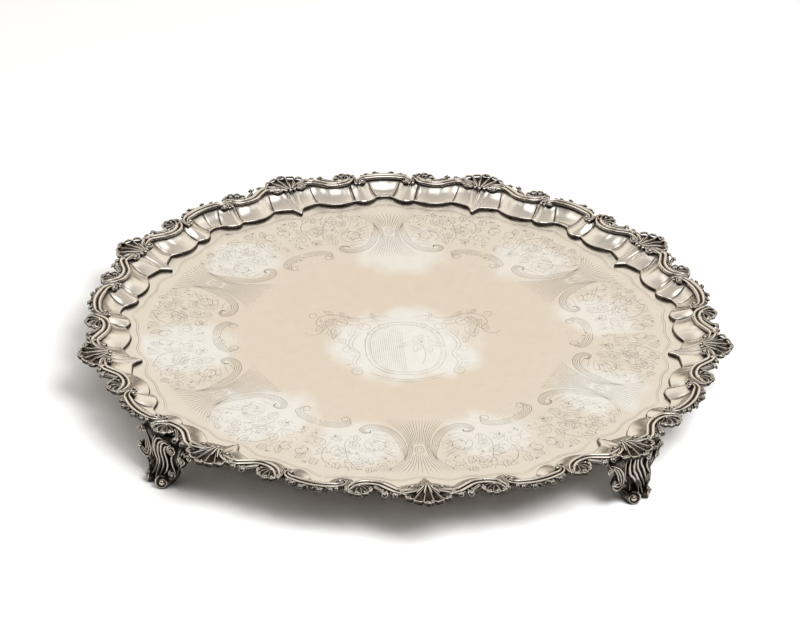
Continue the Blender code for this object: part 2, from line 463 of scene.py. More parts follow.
def piece(name, v, f, c, mat, nodes, slot, painted_glare=None, smooth=True, heal=True):
    mesh = bpy.data.meshes.new(name)
    mesh.from_pydata(np.asarray(v).tolist(), [], f)
    if heal:
        bm = bmesh.new()
        bm.from_mesh(mesh)
        bmesh.ops.recalc_face_normals(bm, faces=bm.faces)
        bm.to_mesh(mesh)
        bm.free()
    mesh.attributes.new("patina_and_shade", "FLOAT", "POINT").data.foreach_set("value", np.ascontiguousarray(c, dtype=np.float32))
    if painted_glare is not None:
        mesh.attributes.new("painted_glare", "FLOAT", "POINT").data.foreach_set("value", np.ascontiguousarray(painted_glare, dtype=np.float32))
    mesh.polygons.foreach_set("use_smooth", np.full(len(mesh.polygons), smooth))
    mesh.materials.append(mat)
    o = bpy.data.objects.new(name, mesh)
    bpy.context.scene.collection.objects.link(o)
    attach(o, "root")
    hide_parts(*nodes)
    return o


def place(v, turn=0.0):
    """From axis-centred coordinates (height above the floor) to the row frame."""
    out = spin(np.asarray(v, float), turn)
    out[:, 0] += AXIS[0]
    out[:, 1] += AXIS[1]
    out[:, 2] += FLOOR
    return out


# ------------------------------------------------------------------ panelled slope of the plate
LIP = 0.0115
BOUND_0 = (0.0, ANG_AB, ANG_BC, ANG_CD, 20.0)
BOUND_1 = (0.0, 4.5, 13.0, 16.7, 20.0)


def warp(a0, t):
    """Panel boundaries lean as they climb: column angle at height fraction t."""
    a1 = float(np.interp(abs(a0), BOUND_0, BOUND_1))
    return math.copysign(abs(a0) + (a1 - abs(a0)) * t, a0)


def hollow(t):
    """Height fraction of the climb: nearly flat by the lip, steep under the border."""
    return 0.20 * t + 0.80 * t ** 2.35


def slope(a0, t):
    """(radius, height, recess) at fraction t of the climb, on column a0."""
    b = abs(a0)
    foot = panel_edge(b)
    a = abs(warp(a0, min(t, 1.0)))
    inner = centre_line(abs(warp(a0, 1.0))) - MOULD - 0.001
    r = foot + (inner - foot) * t
    tt = min(t, 1.0)
    rec = 0.0
    mid = math.sin(math.pi * min(0.93, 0.16 + tt * 0.80))
    if b < ANG_AB:
        u = b / ANG_AB
        shape = math.sqrt(max(0.0, 1 - u ** 3.2))
        h = LIP + (FLANGE - LIP) * hollow(tt) + mid * (0.0085 * shape - 0.0035)
        k = b / (0.42 + 0.58 * tt) if tt < 1 else b
        flute = math.cos(2 * math.pi * k / 1.55) * max(0.0, 1 - (k / 2.9) ** 4)
        fade = min(1.0, (1 - tt) * 9) * min(1.0, 0.35 + tt * 2.5)
        h += 0.0026 * flute * fade
        # darker in the flute hollows: oxide and painted shade
        rec = 0.30 * max(0.0, -flute) * fade
        edge = (1 - u) * ANG_AB
    elif b < ANG_CD:
        lo, hi = (ANG_AB, ANG_BC) if b < ANG_BC else (ANG_BC, ANG_CD)
        u = (b - lo) / (hi - lo)
        shape = math.sqrt(max(0.0, 4 * u * (1 - u)))
        amp = 0.0085 if b < ANG_BC else 0.0125
        h = LIP + (FLANGE - LIP) * hollow(tt) + mid * (amp * shape - 0.0040)
        edge = min(u, 1 - u) * (hi - lo)
    else:
        u = (b - ANG_CD) / (20 - ANG_CD)
        h = 0.014 + (FLANGE - 0.014) * hollow(tt) - mid * 0.0030 * math.sin(u * math.pi / 2) ** 0.7 - mid * 0.003
        rec = 0.04
        edge = u * (20 - ANG_CD) + 0.02
    # darker along the creases between panels: oxide and painted shade
    gap = edge * D2R * 1.08 * U / 0.0007
    rec = max(rec, 0.95 * math.exp(-gap * gap) * min(1.0, 0.35 + 3 * mid * 0.4))
    # darker where the climb meets the moulding: painted shade
    if t > 0.93:
        rec = max(rec, 0.55 * (min(t, 1.0) - 0.93) / 0.07)
    return r, min(h, FLANGE + 0.004), rec


def cosine(lo, hi, n):
    return [lo + (hi - lo) * (1 - math.cos(math.pi * i / n)) / 2 for i in range(n + 1)]


half = cosine(0, ANG_AB * 2, 52)[26:]
half = [h - ANG_AB for h in half][:-1] + cosine(ANG_AB, ANG_BC, 34)[:-1] + cosine(ANG_BC, ANG_CD, 24)[:-1] + cosine(ANG_CD, 21.7, 18)[:10]
half = sorted(set([round(h, 5) for h in half if 0 <= h < 19.999] + [20.0]))
column_offsets = [-h for h in reversed(half[1:])] + half[:-1]

# lip rows: (radial offset, height, darkening); the step's wall is painted dark, a painted shadow under the lip
wall = ((-0.0056, -0.0006, 0.9), (-0.0034, 0.0010, 0.97), (-0.0022, 0.0044, 0.95), (-0.0018, 0.0072, 0.80), (-0.0006, 0.0098, 0.12), (0.0014, 0.0113, 0.0))
climb = [0.06, 0.10, 0.15, 0.20, 0.26, 0.32, 0.38, 0.44, 0.50, 0.56, 0.62, 0.68, 0.74, 0.80, 0.85, 0.90, 0.94, 0.97, 1.0]
prof_rows = len(wall) + len(climb) + 2


def panel_template():
    top = []
    for a0 in column_offsets:
        col = []
        scale = 1.35 if abs(a0) > ANG_CD else 1.0
        lipfix = 1.0 - 0.18 * math.exp(-(a0 / 1.2) ** 2)
        dip = slope(a0, 0.06)
        for dr, h, c in wall:
            col.append((panel_edge(a0) + dr, h * min(1.3, dip[1] / 0.0117) * (lipfix if h > 0 else 1), c, a0))
        for t in climb:
            r, h, c = slope(a0, t)
            # painted shade and a painted dark reflection in the corner under the moulding, with some polish and dirt
            c = min(1.0, c + 0.34 * max(0.0, (t - 0.74) / 0.26) ** 1.3)
            col.append((r, h, c, warp(a0, t)))
        a1 = warp(a0, 1.0)
        # the strip under the moulding is painted dark as shade
        col.append((centre_line(a1), FLANGE, 0.7, a1))
        col.append((centre_line(a1) + 0.008, FLANGE, 0.7, a1))
        top.append(col)
    v, c = [], []
    for col in top:
        for r, h, rec, a in col:
            x, y = pol(r, a)
            v.append((x, y, h * U))
            c.append(rec)
    for col in top:
        for i, (r, h, rec, a) in enumerate(col):
            x, y = pol(r + (0.0004 if i < len(wall) else 0), a)
            v.append((x, y, h * U - (SHEET if i > 3 else SHEET * 0.8)))
            c.append(0.15)
    return np.array(v), np.array(c), len(top), prof_rows


def build_panels():
    v0, c0, cols, rows = panel_template()
    for part in range(3):
        vs, cs, fs = [], [], []
        half_n = cols * rows
        # three repeats make one piece; the joint columns coincide with the neighbour's
        total = cols * 3 + 1
        tops, unders, ctop, cund = [], [], [], []
        for k in range(3):
            turn = FIRST - STEP * (part * 3 + (2 - k))
            w = spin(v0, turn)
            tops.append(w[:half_n].reshape(cols, rows, 3))
            unders.append(w[half_n:].reshape(cols, rows, 3))
            ctop.append(c0[:half_n].reshape(cols, rows))
            cund.append(c0[half_n:].reshape(cols, rows))
        w = spin(v0, FIRST - STEP * (part * 3 - 1))
        tops.append(w[:half_n].reshape(cols, rows, 3)[:1])
        unders.append(w[half_n:].reshape(cols, rows, 3)[:1])
        ctop.append(c0[:half_n].reshape(cols, rows)[:1])
        cund.append(c0[half_n:].reshape(cols, rows)[:1])
        t, u = np.concatenate(tops), np.concatenate(unders)
        v = np.concatenate([t.reshape(-1, 3), u.reshape(-1, 3)])
        c = np.concatenate([np.concatenate(ctop).reshape(-1), np.concatenate(cund).reshape(-1)])
        n = total * rows
        f = [q[::-1] for q in grid_faces(total, rows)] + grid_faces(total, rows, off=n)
        for i in range(total - 1):
            a, b = i * rows + rows - 1, (i + 1) * rows + rows - 1
            f.append((a, b, b + n, a + n))
            a, b = i * rows, (i + 1) * rows
            f.append((b, a, a + n, b + n))
        for i in range(rows - 1):
            f.append((i, i + 1, i + 1 + n, i + n))
            e = (total - 1) * rows
            f.append((e + i + 1, e + i, e + i + n, e + i + 1 + n))
        # turned by whole repeats, so each column keeps its sector angle
        piece(f"plate_panels_{part + 1}", place(v), f, c, PANEL_MAT, ["plate"], "sheet_silver")


build_panels()

# ------------------------------------------------------------------ engraving
class Cut:
    """Strokes of the graver: polylines in plan (module units) with a width in millimetres."""

    def __init__(self):
        self.lines = []

    def line(self, pts, w=0.5, n=None):
        pts = np.asarray(pts, float)
        if n:
            pts = spline(pts, n)
        self.lines.append((pts, w))

    def poly(self, ra, w=0.5, n=None):
        ra = np.asarray(ra, float)
        t = ra[:, 1] * D2R
        self.line(np.stack([ra[:, 0] * np.cos(t), ra[:, 0] * np.sin(t)], -1), w, n)

    def dot(self, x, y, w=0.9):
        self.lines.append((np.array([[x, y]]), w))

    def mirrored(self):
        out = Cut()
        for p, w in self.lines:
            out.lines.append((p, w))
            q = p.copy()
            q[:, 1] = -q[:, 1]
            out.lines.append((q, w))
        return out

    def turned(self, deg):
        out = Cut()
        c, s = math.cos(deg * D2R), math.sin(deg * D2R)
        for p, w in self.lines:
            out.lines.append((np.stack([p[:, 0] * c - p[:, 1] * s, p[:, 0] * s + p[:, 1] * c], -1), w))
        return out


MM = 0.001 / U


def spiral(cx, cy, r0, r1, a0, turns, n=26):
    t = np.linspace(0, 1, n)
    r = r0 + (r1 - r0) * t
    a = a0 * D2R + turns * 2 * math.pi * t
    return np.stack([cx + r * np.cos(a), cy + r * np.sin(a)], -1)


def leaf(cut, x, y, ang, length, width, veins=5, w=0.42):
    """A pointed leaf: two edges, a midrib and slanting veins."""
    ca, sa = math.cos(ang * D2R), math.sin(ang * D2R)

    def at(u, v):
        return (x + (u * ca - v * sa) * length, y + (u * sa + v * ca) * length)
    k = width / length
    for s in (1, -1):
        cut.line([at(u, s * k * math.sin(math.pi * u ** 0.8) * (1 - 0.25 * u)) for u in np.linspace(0, 1, 9)], w)
    cut.line([at(u, 0.04 * math.sin(3 * u)) for u in np.linspace(0.02, 0.9, 5)], w * 0.9)
    for i in range(veins):
        u = 0.15 + 0.65 * i / max(1, veins - 1)
        q = k * math.sin(math.pi * (u + 0.10) ** 0.8) * 0.75
        for s in (1, -1):
            cut.line([at(u, 0.0), at(u + 0.10, s * q)], w * 0.75)


def rosette(cut, x, y, r, petals=6, w=0.42):
    for i in range(petals):
        a = 2 * math.pi * i / petals
        pts = []
        for t in np.linspace(-1, 1, 9):
            b = a + t * math.pi / petals * 0.92
            q = r * (0.62 + 0.38 * math.cos(t * math.pi / 2) ** 0.6)
            pts.append((x + q * math.cos(b), y + q * math.sin(b)))
        cut.line(pts, w)
        cut.line([(x + r * 0.30 * math.cos(a), y + r * 0.30 * math.sin(a)), (x + r * 0.75 * math.cos(a), y + r * 0.75 * math.sin(a))], w * 0.8)
    cut.line(spiral(x, y, r * 0.26, r * 0.26, 0, 1.0, 11), w)
    cut.dot(x, y, 0.8)


def fan_design():
    """Half of one fan compartment (0 to 30 degrees), axis along +X."""
    c = Cut()
    # hourglass of fine rays through the waist
    for i in range(1, 9):
        s = i / 8.0
        if i < 5:
            c.line([(0.612, 0.098 * s), (0.66, 0.070 * s), (0.72, 0.046 * s), (0.770, 0.037 * s)], 0.44, 16)
            c.line([(0.838, 0.050 * s), (0.87, 0.066 * s), (0.91, 0.098 * s), (0.955 - 0.012 * s, 0.150 * s)], 0.50, 16)
        else:
            c.line([(0.612, 0.098 * s), (0.66, 0.070 * s), (0.72, 0.046 * s), (0.79, 0.038 * s), (0.86, 0.062 * s), (0.91, 0.098 * s), (0.955 - 0.012 * s, 0.150 * s)], 0.46, 26)
        c.dot(0.604, 0.100 * s, 0.8)
        c.dot(0.622 - 0.004 * i, 0.112 * s + 0.004, 0.7)
        c.dot(0.962 - 0.012 * s, 0.156 * s + 0.002, 0.8)
    # big C scroll beside the waist, three parallel lines
    path = [(0.875, 0.058), (0.82, 0.045), (0.76, 0.048), (0.70, 0.066), (0.655, 0.100), (0.632, 0.145), (0.636, 0.186), (0.662, 0.206), (0.686, 0.192), (0.684, 0.168), (0.666, 0.166)]
    base = spline(path, 56)
    g = np.gradient(base, axis=0)
    g /= np.linalg.norm(g, axis=1)[:, None]
    nrm = np.stack([-g[:, 1], g[:, 0]], -1)
    taper = np.clip(np.linspace(0, 1, 56) * 6, 0, 1) * np.clip((1 - np.linspace(0, 1, 56)) * 2.2, 0, 1)
    for k, w in ((0.0, 0.66), (0.006, 0.40), (0.012, 0.40), (0.018, 0.40), (0.025, 0.56)):
        c.line(base - nrm * (k * taper)[:, None], w)
    # ribs between the scroll's outer lines
    for i in range(8, 44, 2):
        p = base[i] - nrm[i] * 0.024 * taper[i]
        q = base[i] - nrm[i] * (0.036 + 0.006 * math.sin(i)) * taper[i]
        c.line([p, q], 0.40)
    # inner feathering of the scroll
    for i in range(7):
        t = i / 6
        c.line([(0.845 - 0.17 * t, 0.088 + 0.03 * t), (0.82 - 0.15 * t, 0.118 + 0.03 * t), (0.78 - 0.11 * t, 0.150 + 0.02 * t)], 0.38, 8)
    c.line(spiral(0.765, 0.150, 0.048, 0.014, 150, -1.3), 0.5)
    # flowers and foliage between the fans
    rosette(c, 0.882, 0.238, 0.036, 6)
    rosette(c, 0.800, 0.292, 0.030, 5)
    rosette(c, 0.905, 0.140, 0.022, 5, 0.36)
    rosette(c, 0.765, 0.232, 0.022, 5, 0.36)
    for x, y, a, l, wd in ((0.842, 0.190, 35, 0.062, 0.018), (0.842, 0.190, -15, 0.058, 0.016), (0.820, 0.250, 80, 0.058, 0.017), (0.820, 0.250, 140, 0.055, 0.016), (0.875, 0.300, 10, 0.055, 0.016),
                          (0.775, 0.330, 40, 0.060, 0.017), (0.730, 0.270, 120, 0.052, 0.015), (0.740, 0.215, 170, 0.048, 0.014), (0.900, 0.345, -30, 0.050, 0.015), (0.842, 0.372, 20, 0.060, 0.017),
                          (0.812, 0.405, 55, 0.052, 0.015), (0.912, 0.188, 5, 0.040, 0.012), (0.790, 0.190, -60, 0.040, 0.012), (0.860, 0.420, 0, 0.050, 0.014)):
        leaf(c, x, y, a, l, wd)
    # stems
    c.line([(0.70, 0.235), (0.75, 0.262), (0.81, 0.262), (0.865, 0.255), (0.93, 0.225)], 0.5, 22)
    c.line([(0.735, 0.310), (0.80, 0.345), (0.86, 0.345), (0.915, 0.300)], 0.5, 20)
    c.line(spiral(0.925, 0.275, 0.034, 0.010, -60, 1.2), 0.46)
    c.line(spiral(0.735, 0.355, 0.030, 0.009, 30, -1.2), 0.46)
    c.line(spiral(0.790, 0.425, 0.032, 0.009, 200, 1.1), 0.46)
    # kidney cartouche across the 30 degree axis
    mid = np.array([(0.652, 15.0 + 6.0), (0.672, 20.5), (0.697, 22.5), (0.712, 26.0), (0.716, 30.0)])
    for k, w in ((0.0, 0.64), (-0.007, 0.40), (-0.013, 0.40), (-0.020, 0.40), (-0.028, 0.54)):
        m = mid.copy()
        m[:, 0] += k
        m[:, 1] += -k * 60 * (1 - np.linspace(0, 1, 5))
        c.poly(m, w, 22)
    c.line(spiral(0.595, 0.252, 0.024, 0.006, 20, -1.4), 0.5)
    for i in range(6):
        a = 20.5 + i * 1.9
        c.poly([(0.668 + 0.004 * i, a), (0.655 + 0.003 * i, a + 0.4)], 0.42)
    for i in range(5):
        for j in range(3):
            t = (23.5 + 1.6 * i) * D2R
            r = 0.622 + 0.017 * j
            c.dot(r * math.cos(t), r * math.sin(t), 0.62)
    # trellis of dots on the 30 degree axis
    for i in range(7):
        for j in range(5):
            t = (24.0 + 1.0 * i + 0.5 * (j % 2)) * D2R
            r = 0.905 + 0.011 * j
            if t < 29.9 * D2R:
                c.dot(r * math.cos(t), r * math.sin(t), 0.66)
    # fine stipple and hatching that fills the ground
    rnd = random.Random(7)
    for i in range(300):
        a = rnd.uniform(5.5, 29.3)
        r = rnd.uniform(0.74, 0.950)
        if rnd.random() < 0.45:
            t = a * D2R
            c.dot(r * math.cos(t), r * math.sin(t), rnd.uniform(0.55, 1.0))
        else:
            d = rnd.uniform(-60, 60)
            l = rnd.uniform(0.010, 0.022)
            t = a * D2R
            x, y = r * math.cos(t), r * math.sin(t)
            e = (a + d) * D2R
            c.line([(x, y), (x + l * 0.5 * math.cos(e + 0.2), y + l * 0.5 * math.sin(e + 0.2)), (x + l * math.cos(e), y + l * math.sin(e))], rnd.uniform(0.30, 0.46))
    return c


def fan_axis_extra():
    """Strokes that lie on the fan's own axis, so they are not mirrored."""
    c = Cut()
    c.line([(0.612, 0.0), (0.770, 0.0)], 0.44, 16)
    c.line([(0.838, 0.0), (0.955, 0.0)], 0.50, 14)
    t = np.linspace(0, 2 * math.pi, 25)
    c.line(np.stack([0.803 + 0.024 * np.cos(t), 0.016 * np.sin(t)], -1), 0.55)
    c.line(np.stack([0.803 + 0.014 * np.cos(t), 0.009 * np.sin(t)], -1), 0.5)
    c.dot(0.803, 0.0, 1.2)
    return c


def centre_design():
    """Generic scrolled oval with a flower, in place of an owner's arms. +Y is up."""
    c = Cut()
    cx, cy = 0.0, -0.10
    for k, w in ((0.0, 0.66), (0.014, 0.46), (0.020, 0.36)):
        t = np.linspace(0, 2 * math.pi, 90)
        rx, ry = 0.150 - k, 0.190 - k
        c.line(np.stack([cx + rx * np.sign(np.cos(t)) * np.abs(np.cos(t)) ** 0.82, cy + ry * np.sign(np.sin(t)) * np.abs(np.sin(t)) ** 0.86], -1), w)
    # fine hatching over the left half of the oval
    for i in range(17):
        x = -0.128 + 0.0076 * i
        h = 0.168 * math.sqrt(max(0.0, 1 - (x / 0.134) ** 2)) ** 0.9
        c.line([(cx + x, cy - h), (cx + x, cy), (cx + x, cy + h)], 0.34, 36)
    rosette(c, cx + 0.065, cy + 0.060, 0.036, 8, 0.46)
    for a in (-150, -110, -70, -30):
        leaf(c, cx + 0.065 + 0.03 * math.cos(a * D2R), cy + 0.060 + 0.03 * math.sin(a * D2R), a, 0.070, 0.016, 4, 0.40)
    c.line([(cx + 0.065, cy + 0.02), (cx + 0.072, cy - 0.05), (cx + 0.055, cy - 0.120)], 0.5, 12)
    s = Cut()
    # scrolled frame, right side
    frame_path = [(0.165, -0.26), (0.190, -0.20), (0.172, -0.14), (0.196, -0.08), (0.182, -0.02), (0.150, 0.02)]
    s.line(frame_path, 0.55, 30)
    s.line([(x + 0.014, y + 0.004) for x, y in frame_path], 0.42, 30)
    s.line(spiral(0.185, -0.265, 0.030, 0.008, 100, -1.2), 0.5)
    s.line(spiral(0.216, -0.10, 0.026, 0.007, 200, 1.2), 0.5)
    for i in range(8):
        t = i / 7
        s.line([(0.20 + 0.012 * math.sin(9 * t), -0.24 + 0.2 * t), (0.235 + 0.012 * math.sin(7 * t), -0.225 + 0.2 * t)], 0.36)
    s.line([(0.0, -0.325), (0.05, -0.318), (0.10, -0.300), (0.150, -0.270)], 0.55, 16)
    s.line([(0.0, -0.340), (0.06, -0.330), (0.12, -0.305)], 0.42, 14)
    # mantling foliage, upper right
    s.line([(0.02, 0.115), (0.08, 0.140), (0.15, 0.120), (0.20, 0.130), (0.262, 0.155), (0.310, 0.130), (0.325, 0.085), (0.300, 0.050), (0.315, 0.015), (0.350, 0.005), (0.372, 0.030)], 0.6, 60)
    s.line([(0.06, 0.105), (0.12, 0.100), (0.17, 0.075), (0.215, 0.088), (0.262, 0.120), (0.290, 0.095), (0.280, 0.050), (0.262, 0.005), (0.240, -0.030)], 0.5, 50)
    s.line(spiral(0.232, 0.090, 0.036, 0.009, 20, 1.35), 0.55)
    s.line(spiral(0.140, 0.062, 0.030, 0.008, 60, -1.35), 0.5)
    s.line(spiral(0.330, 0.150, 0.024, 0.006, 200, 1.2), 0.46)
    s.line(spiral(0.075, 0.065, 0.024, 0.006, 120, 1.25), 0.46)
    for x, y, a, l, wd in ((0.245, 0.060, -75, 0.085, 0.022), (0.270, 0.050, -95, 0.080, 0.020), (0.290, 0.075, -50, 0.060, 0.018), (0.160, 0.100, 35, 0.060, 0.016), (0.205, 0.125, 60, 0.055, 0.015),
                          (0.255, 0.150, 40, 0.050, 0.014), (0.190, 0.045, -80, 0.060, 0.016), (0.100, 0.120, 70, 0.045, 0.013), (0.110, 0.040, -60, 0.050, 0.014), (0.235, -0.02, -100, 0.050, 0.013)):
        leaf(s, x, y, a, l, wd, 6)
    for i in range(9):
        t = i / 8
        s.line([(0.250 + 0.055 * t, 0.135 - 0.03 * t), (0.256 + 0.045 * t, 0.095 - 0.02 * t), (0.250 + 0.040 * t, 0.055)], 0.34, 8)
    for i in range(7):
        t = i / 6
        s.line([(0.02 + 0.09 * t, 0.088 + 0.02 * t), (0.03 + 0.08 * t, 0.118 + 0.012 * t)], 0.36)
    for p, w in s.lines:
        c.lines.append((p, w))
        q = p.copy()
        q[:, 0] = -q[:, 0]
        c.lines.append((q, w))
    return c


def rim_design():
    """Double scalloped line that follows the panels, half of one repeat, shell on +X."""
    c = Cut()
    a = np.linspace(0, 20, 60)
    r = np.interp(a, (0, 1.6, 5.2, 9.3, 13.5, 16, 18.3, 20), (0.976, 0.986, 1.008, 0.990, 1.006, 1.002, 1.024, 1.034))
    r = np.convolve(np.pad(r, 4, mode="edge"), np.ones(9) / 9, mode="valid")
    for k, w in ((0.0, 0.52), (-0.007, 0.36)):
        c.poly(np.stack([r + k, a], -1), w)
    return c


# painted glare, pale patches on the floor that stand for reflected light: centre (modules), radius, strength
GLARE_PATCHES = ((0.020, 0.637, 0.175, 0.75), (-0.580, 0.580, 0.145, 0.75), (-0.819, -0.085, 0.175, 0.85), (-0.546, -0.546, 0.185, 0.85), (-0.218, -0.754, 0.150, 0.75),
           (0.256, -0.703, 0.150, 0.7), (0.700, -0.418, 0.165, 0.75), (0.751, 0.119, 0.150, 0.7), (0.520, 0.546, 0.150, 0.65), (-0.015, -0.090, 0.245, 0.95), (0.02, 0.02, 0.17, 0.85),
           (-0.10, -0.10, 0.19, 0.9), (0.10, -0.12, 0.19, 0.9), (-0.13, 0.02, 0.12, 0.6), (0.14, 0.03, 0.12, 0.5))


def painted_glare_at(xy):
    """Soft painted glare patches with uneven edges."""
    x, y = xy[:, 0], xy[:, 1]
    f = np.zeros(len(xy))
    wob = 0.05 * np.sin(13 * x + 4 * np.sin(9 * y)) + 0.08 * np.sin(17 * y - 5 * np.sin(11 * x + 1)) + 0.05 * np.sin(41 * x + 29 * y)
    for i, (px, py, r, k) in enumerate(GLARE_PATCHES):
        d = np.hypot(x - px, y - py) / r + wob + 0.07 * np.sin(83 * x + 5 * np.sin(71 * y + i)) * np.sin(77 * y - 4 * np.sin(63 * x))
        f = np.maximum(f, k * np.clip((1.16 - d) / 0.42, 0, 1))
    f *= 0.86 + 0.14 * np.sin(95 * x + 13 + 2 * np.sin(70 * y)) * np.sin(101 * y + 5)
    return np.clip(f, 0, 1)


DEPTH = 0.00003


def engrave(cut, outline_pts, grid, keep):
    """Triangulates the flat between strokes, with each stroke a V groove. Works in modules."""
    pts, edges, tags = [], [], []

    def push(p, tag):
        pts.append(p)
        tags.append(tag)
        return len(pts) - 1
    first = len(outline_pts) * [0]
    for i, p in enumerate(outline_pts):
        first[i] = push((float(p[0]), float(p[1])), 0)
    for i in range(len(first)):
        edges.append((first[i], first[(i + 1) % len(first)]))
    samples, reach = [], []
    for line, w in cut.lines:
        hw = w * MM / 2
        if len(line) == 1:
            x, y = line[0]
            mid = push((x, y), 1)
            ring = [push((x + hw * math.cos(k * math.pi / 3), y + hw * math.sin(k * math.pi / 3)), 0) for k in range(6)]
            for k in range(6):
                edges.append((ring[k], ring[(k + 1) % 6]))
                edges.append((ring[k], mid))
            samples.append((x, y))
            reach.append(hw)
            continue
        n = len(line)
        g = np.gradient(line, axis=0)
        g /= np.linalg.norm(g, axis=1)[:, None] + 1e-12
        nr = np.stack([-g[:, 1], g[:, 0]], -1)
        t = np.linspace(0, 1, n)
        wid = 1.25 * hw * (0.35 + 0.65 * np.sin(math.pi * t) ** 0.5)
        mids = [push(tuple(p), 1) for p in line]
        le = [push(tuple(p), 0) for p in line + nr * wid[:, None]]
        ri = [push(tuple(p), 0) for p in line - nr * wid[:, None]]
        for i in range(n - 1):
            edges += [(mids[i], mids[i + 1]), (le[i], le[i + 1]), (ri[i], ri[i + 1])]
        edges += [(le[0], ri[0]), (le[-1], ri[-1])]
        for i in range(n - 1):
            k = max(2, int(np.linalg.norm(line[i + 1] - line[i]) / (0.25 * MM)))
            for j in range(k):
                samples.append(tuple(line[i] + (line[i + 1] - line[i]) * j / k))
                reach.append(wid[i])
    for p in grid:
        push((float(p[0]), float(p[1])), 0)
    scale = 1 / MM
    verts, _, faces, *_ = geometry.delaunay_2d_cdt([Vector((p[0] * scale, p[1] * scale)) for p in pts], edges, [], 0, 1e-4, False)
    v = np.array([(p[0], p[1]) for p in verts]) / scale
    depth = np.zeros(len(v))
    if samples:
        tree = kdtree.KDTree(len(samples))
        for i, s in enumerate(samples):
            tree.insert((s[0], s[1], 0), i)
        tree.balance()
        for i, p in enumerate(v):
            co, idx, dist = tree.find((p[0], p[1], 0))
            depth[i] = max(0.0, 1 - dist / reach[idx])
    depth[depth < 0.06] = 0
    f = np.array([tuple(x) for x in faces if len(x) == 3])
    mid = v[f].mean(axis=1)
    f = f[keep(mid)]
    # upward winding
    a, b, c = v[f[:, 0]], v[f[:, 1]], v[f[:, 2]]
    neg = ((b - a)[:, 0] * (c - a)[:, 1] - (b - a)[:, 1] * (c - a)[:, 0]) < 0
    f[neg] = f[neg][:, ::-1]
    used = np.unique(f)
    remap = -np.ones(len(v), int)
    remap[used] = np.arange(len(used))
    return v[used], remap[f], depth[used]


R_IN, R_OUT = 0.590, 0.966


def hexgrid(x0, x1, y0, y1, pitch, ok):
    out = []
    row = 0
    y = y0
    while y < y1:
        x = x0 + (pitch / 2 if row % 2 else 0)
        while x < x1:
            if ok(x, y):
                out.append((x, y))
            x += pitch
        y += pitch * 0.866
        row += 1
    return out


def arc(r, a0, a1, step):
    n = int(round((a1 - a0) / step))
    return [(r * math.cos((a0 + (a1 - a0) * i / n) * D2R), r * math.sin((a0 + (a1 - a0) * i / n) * D2R)) for i in range(n + 1)]


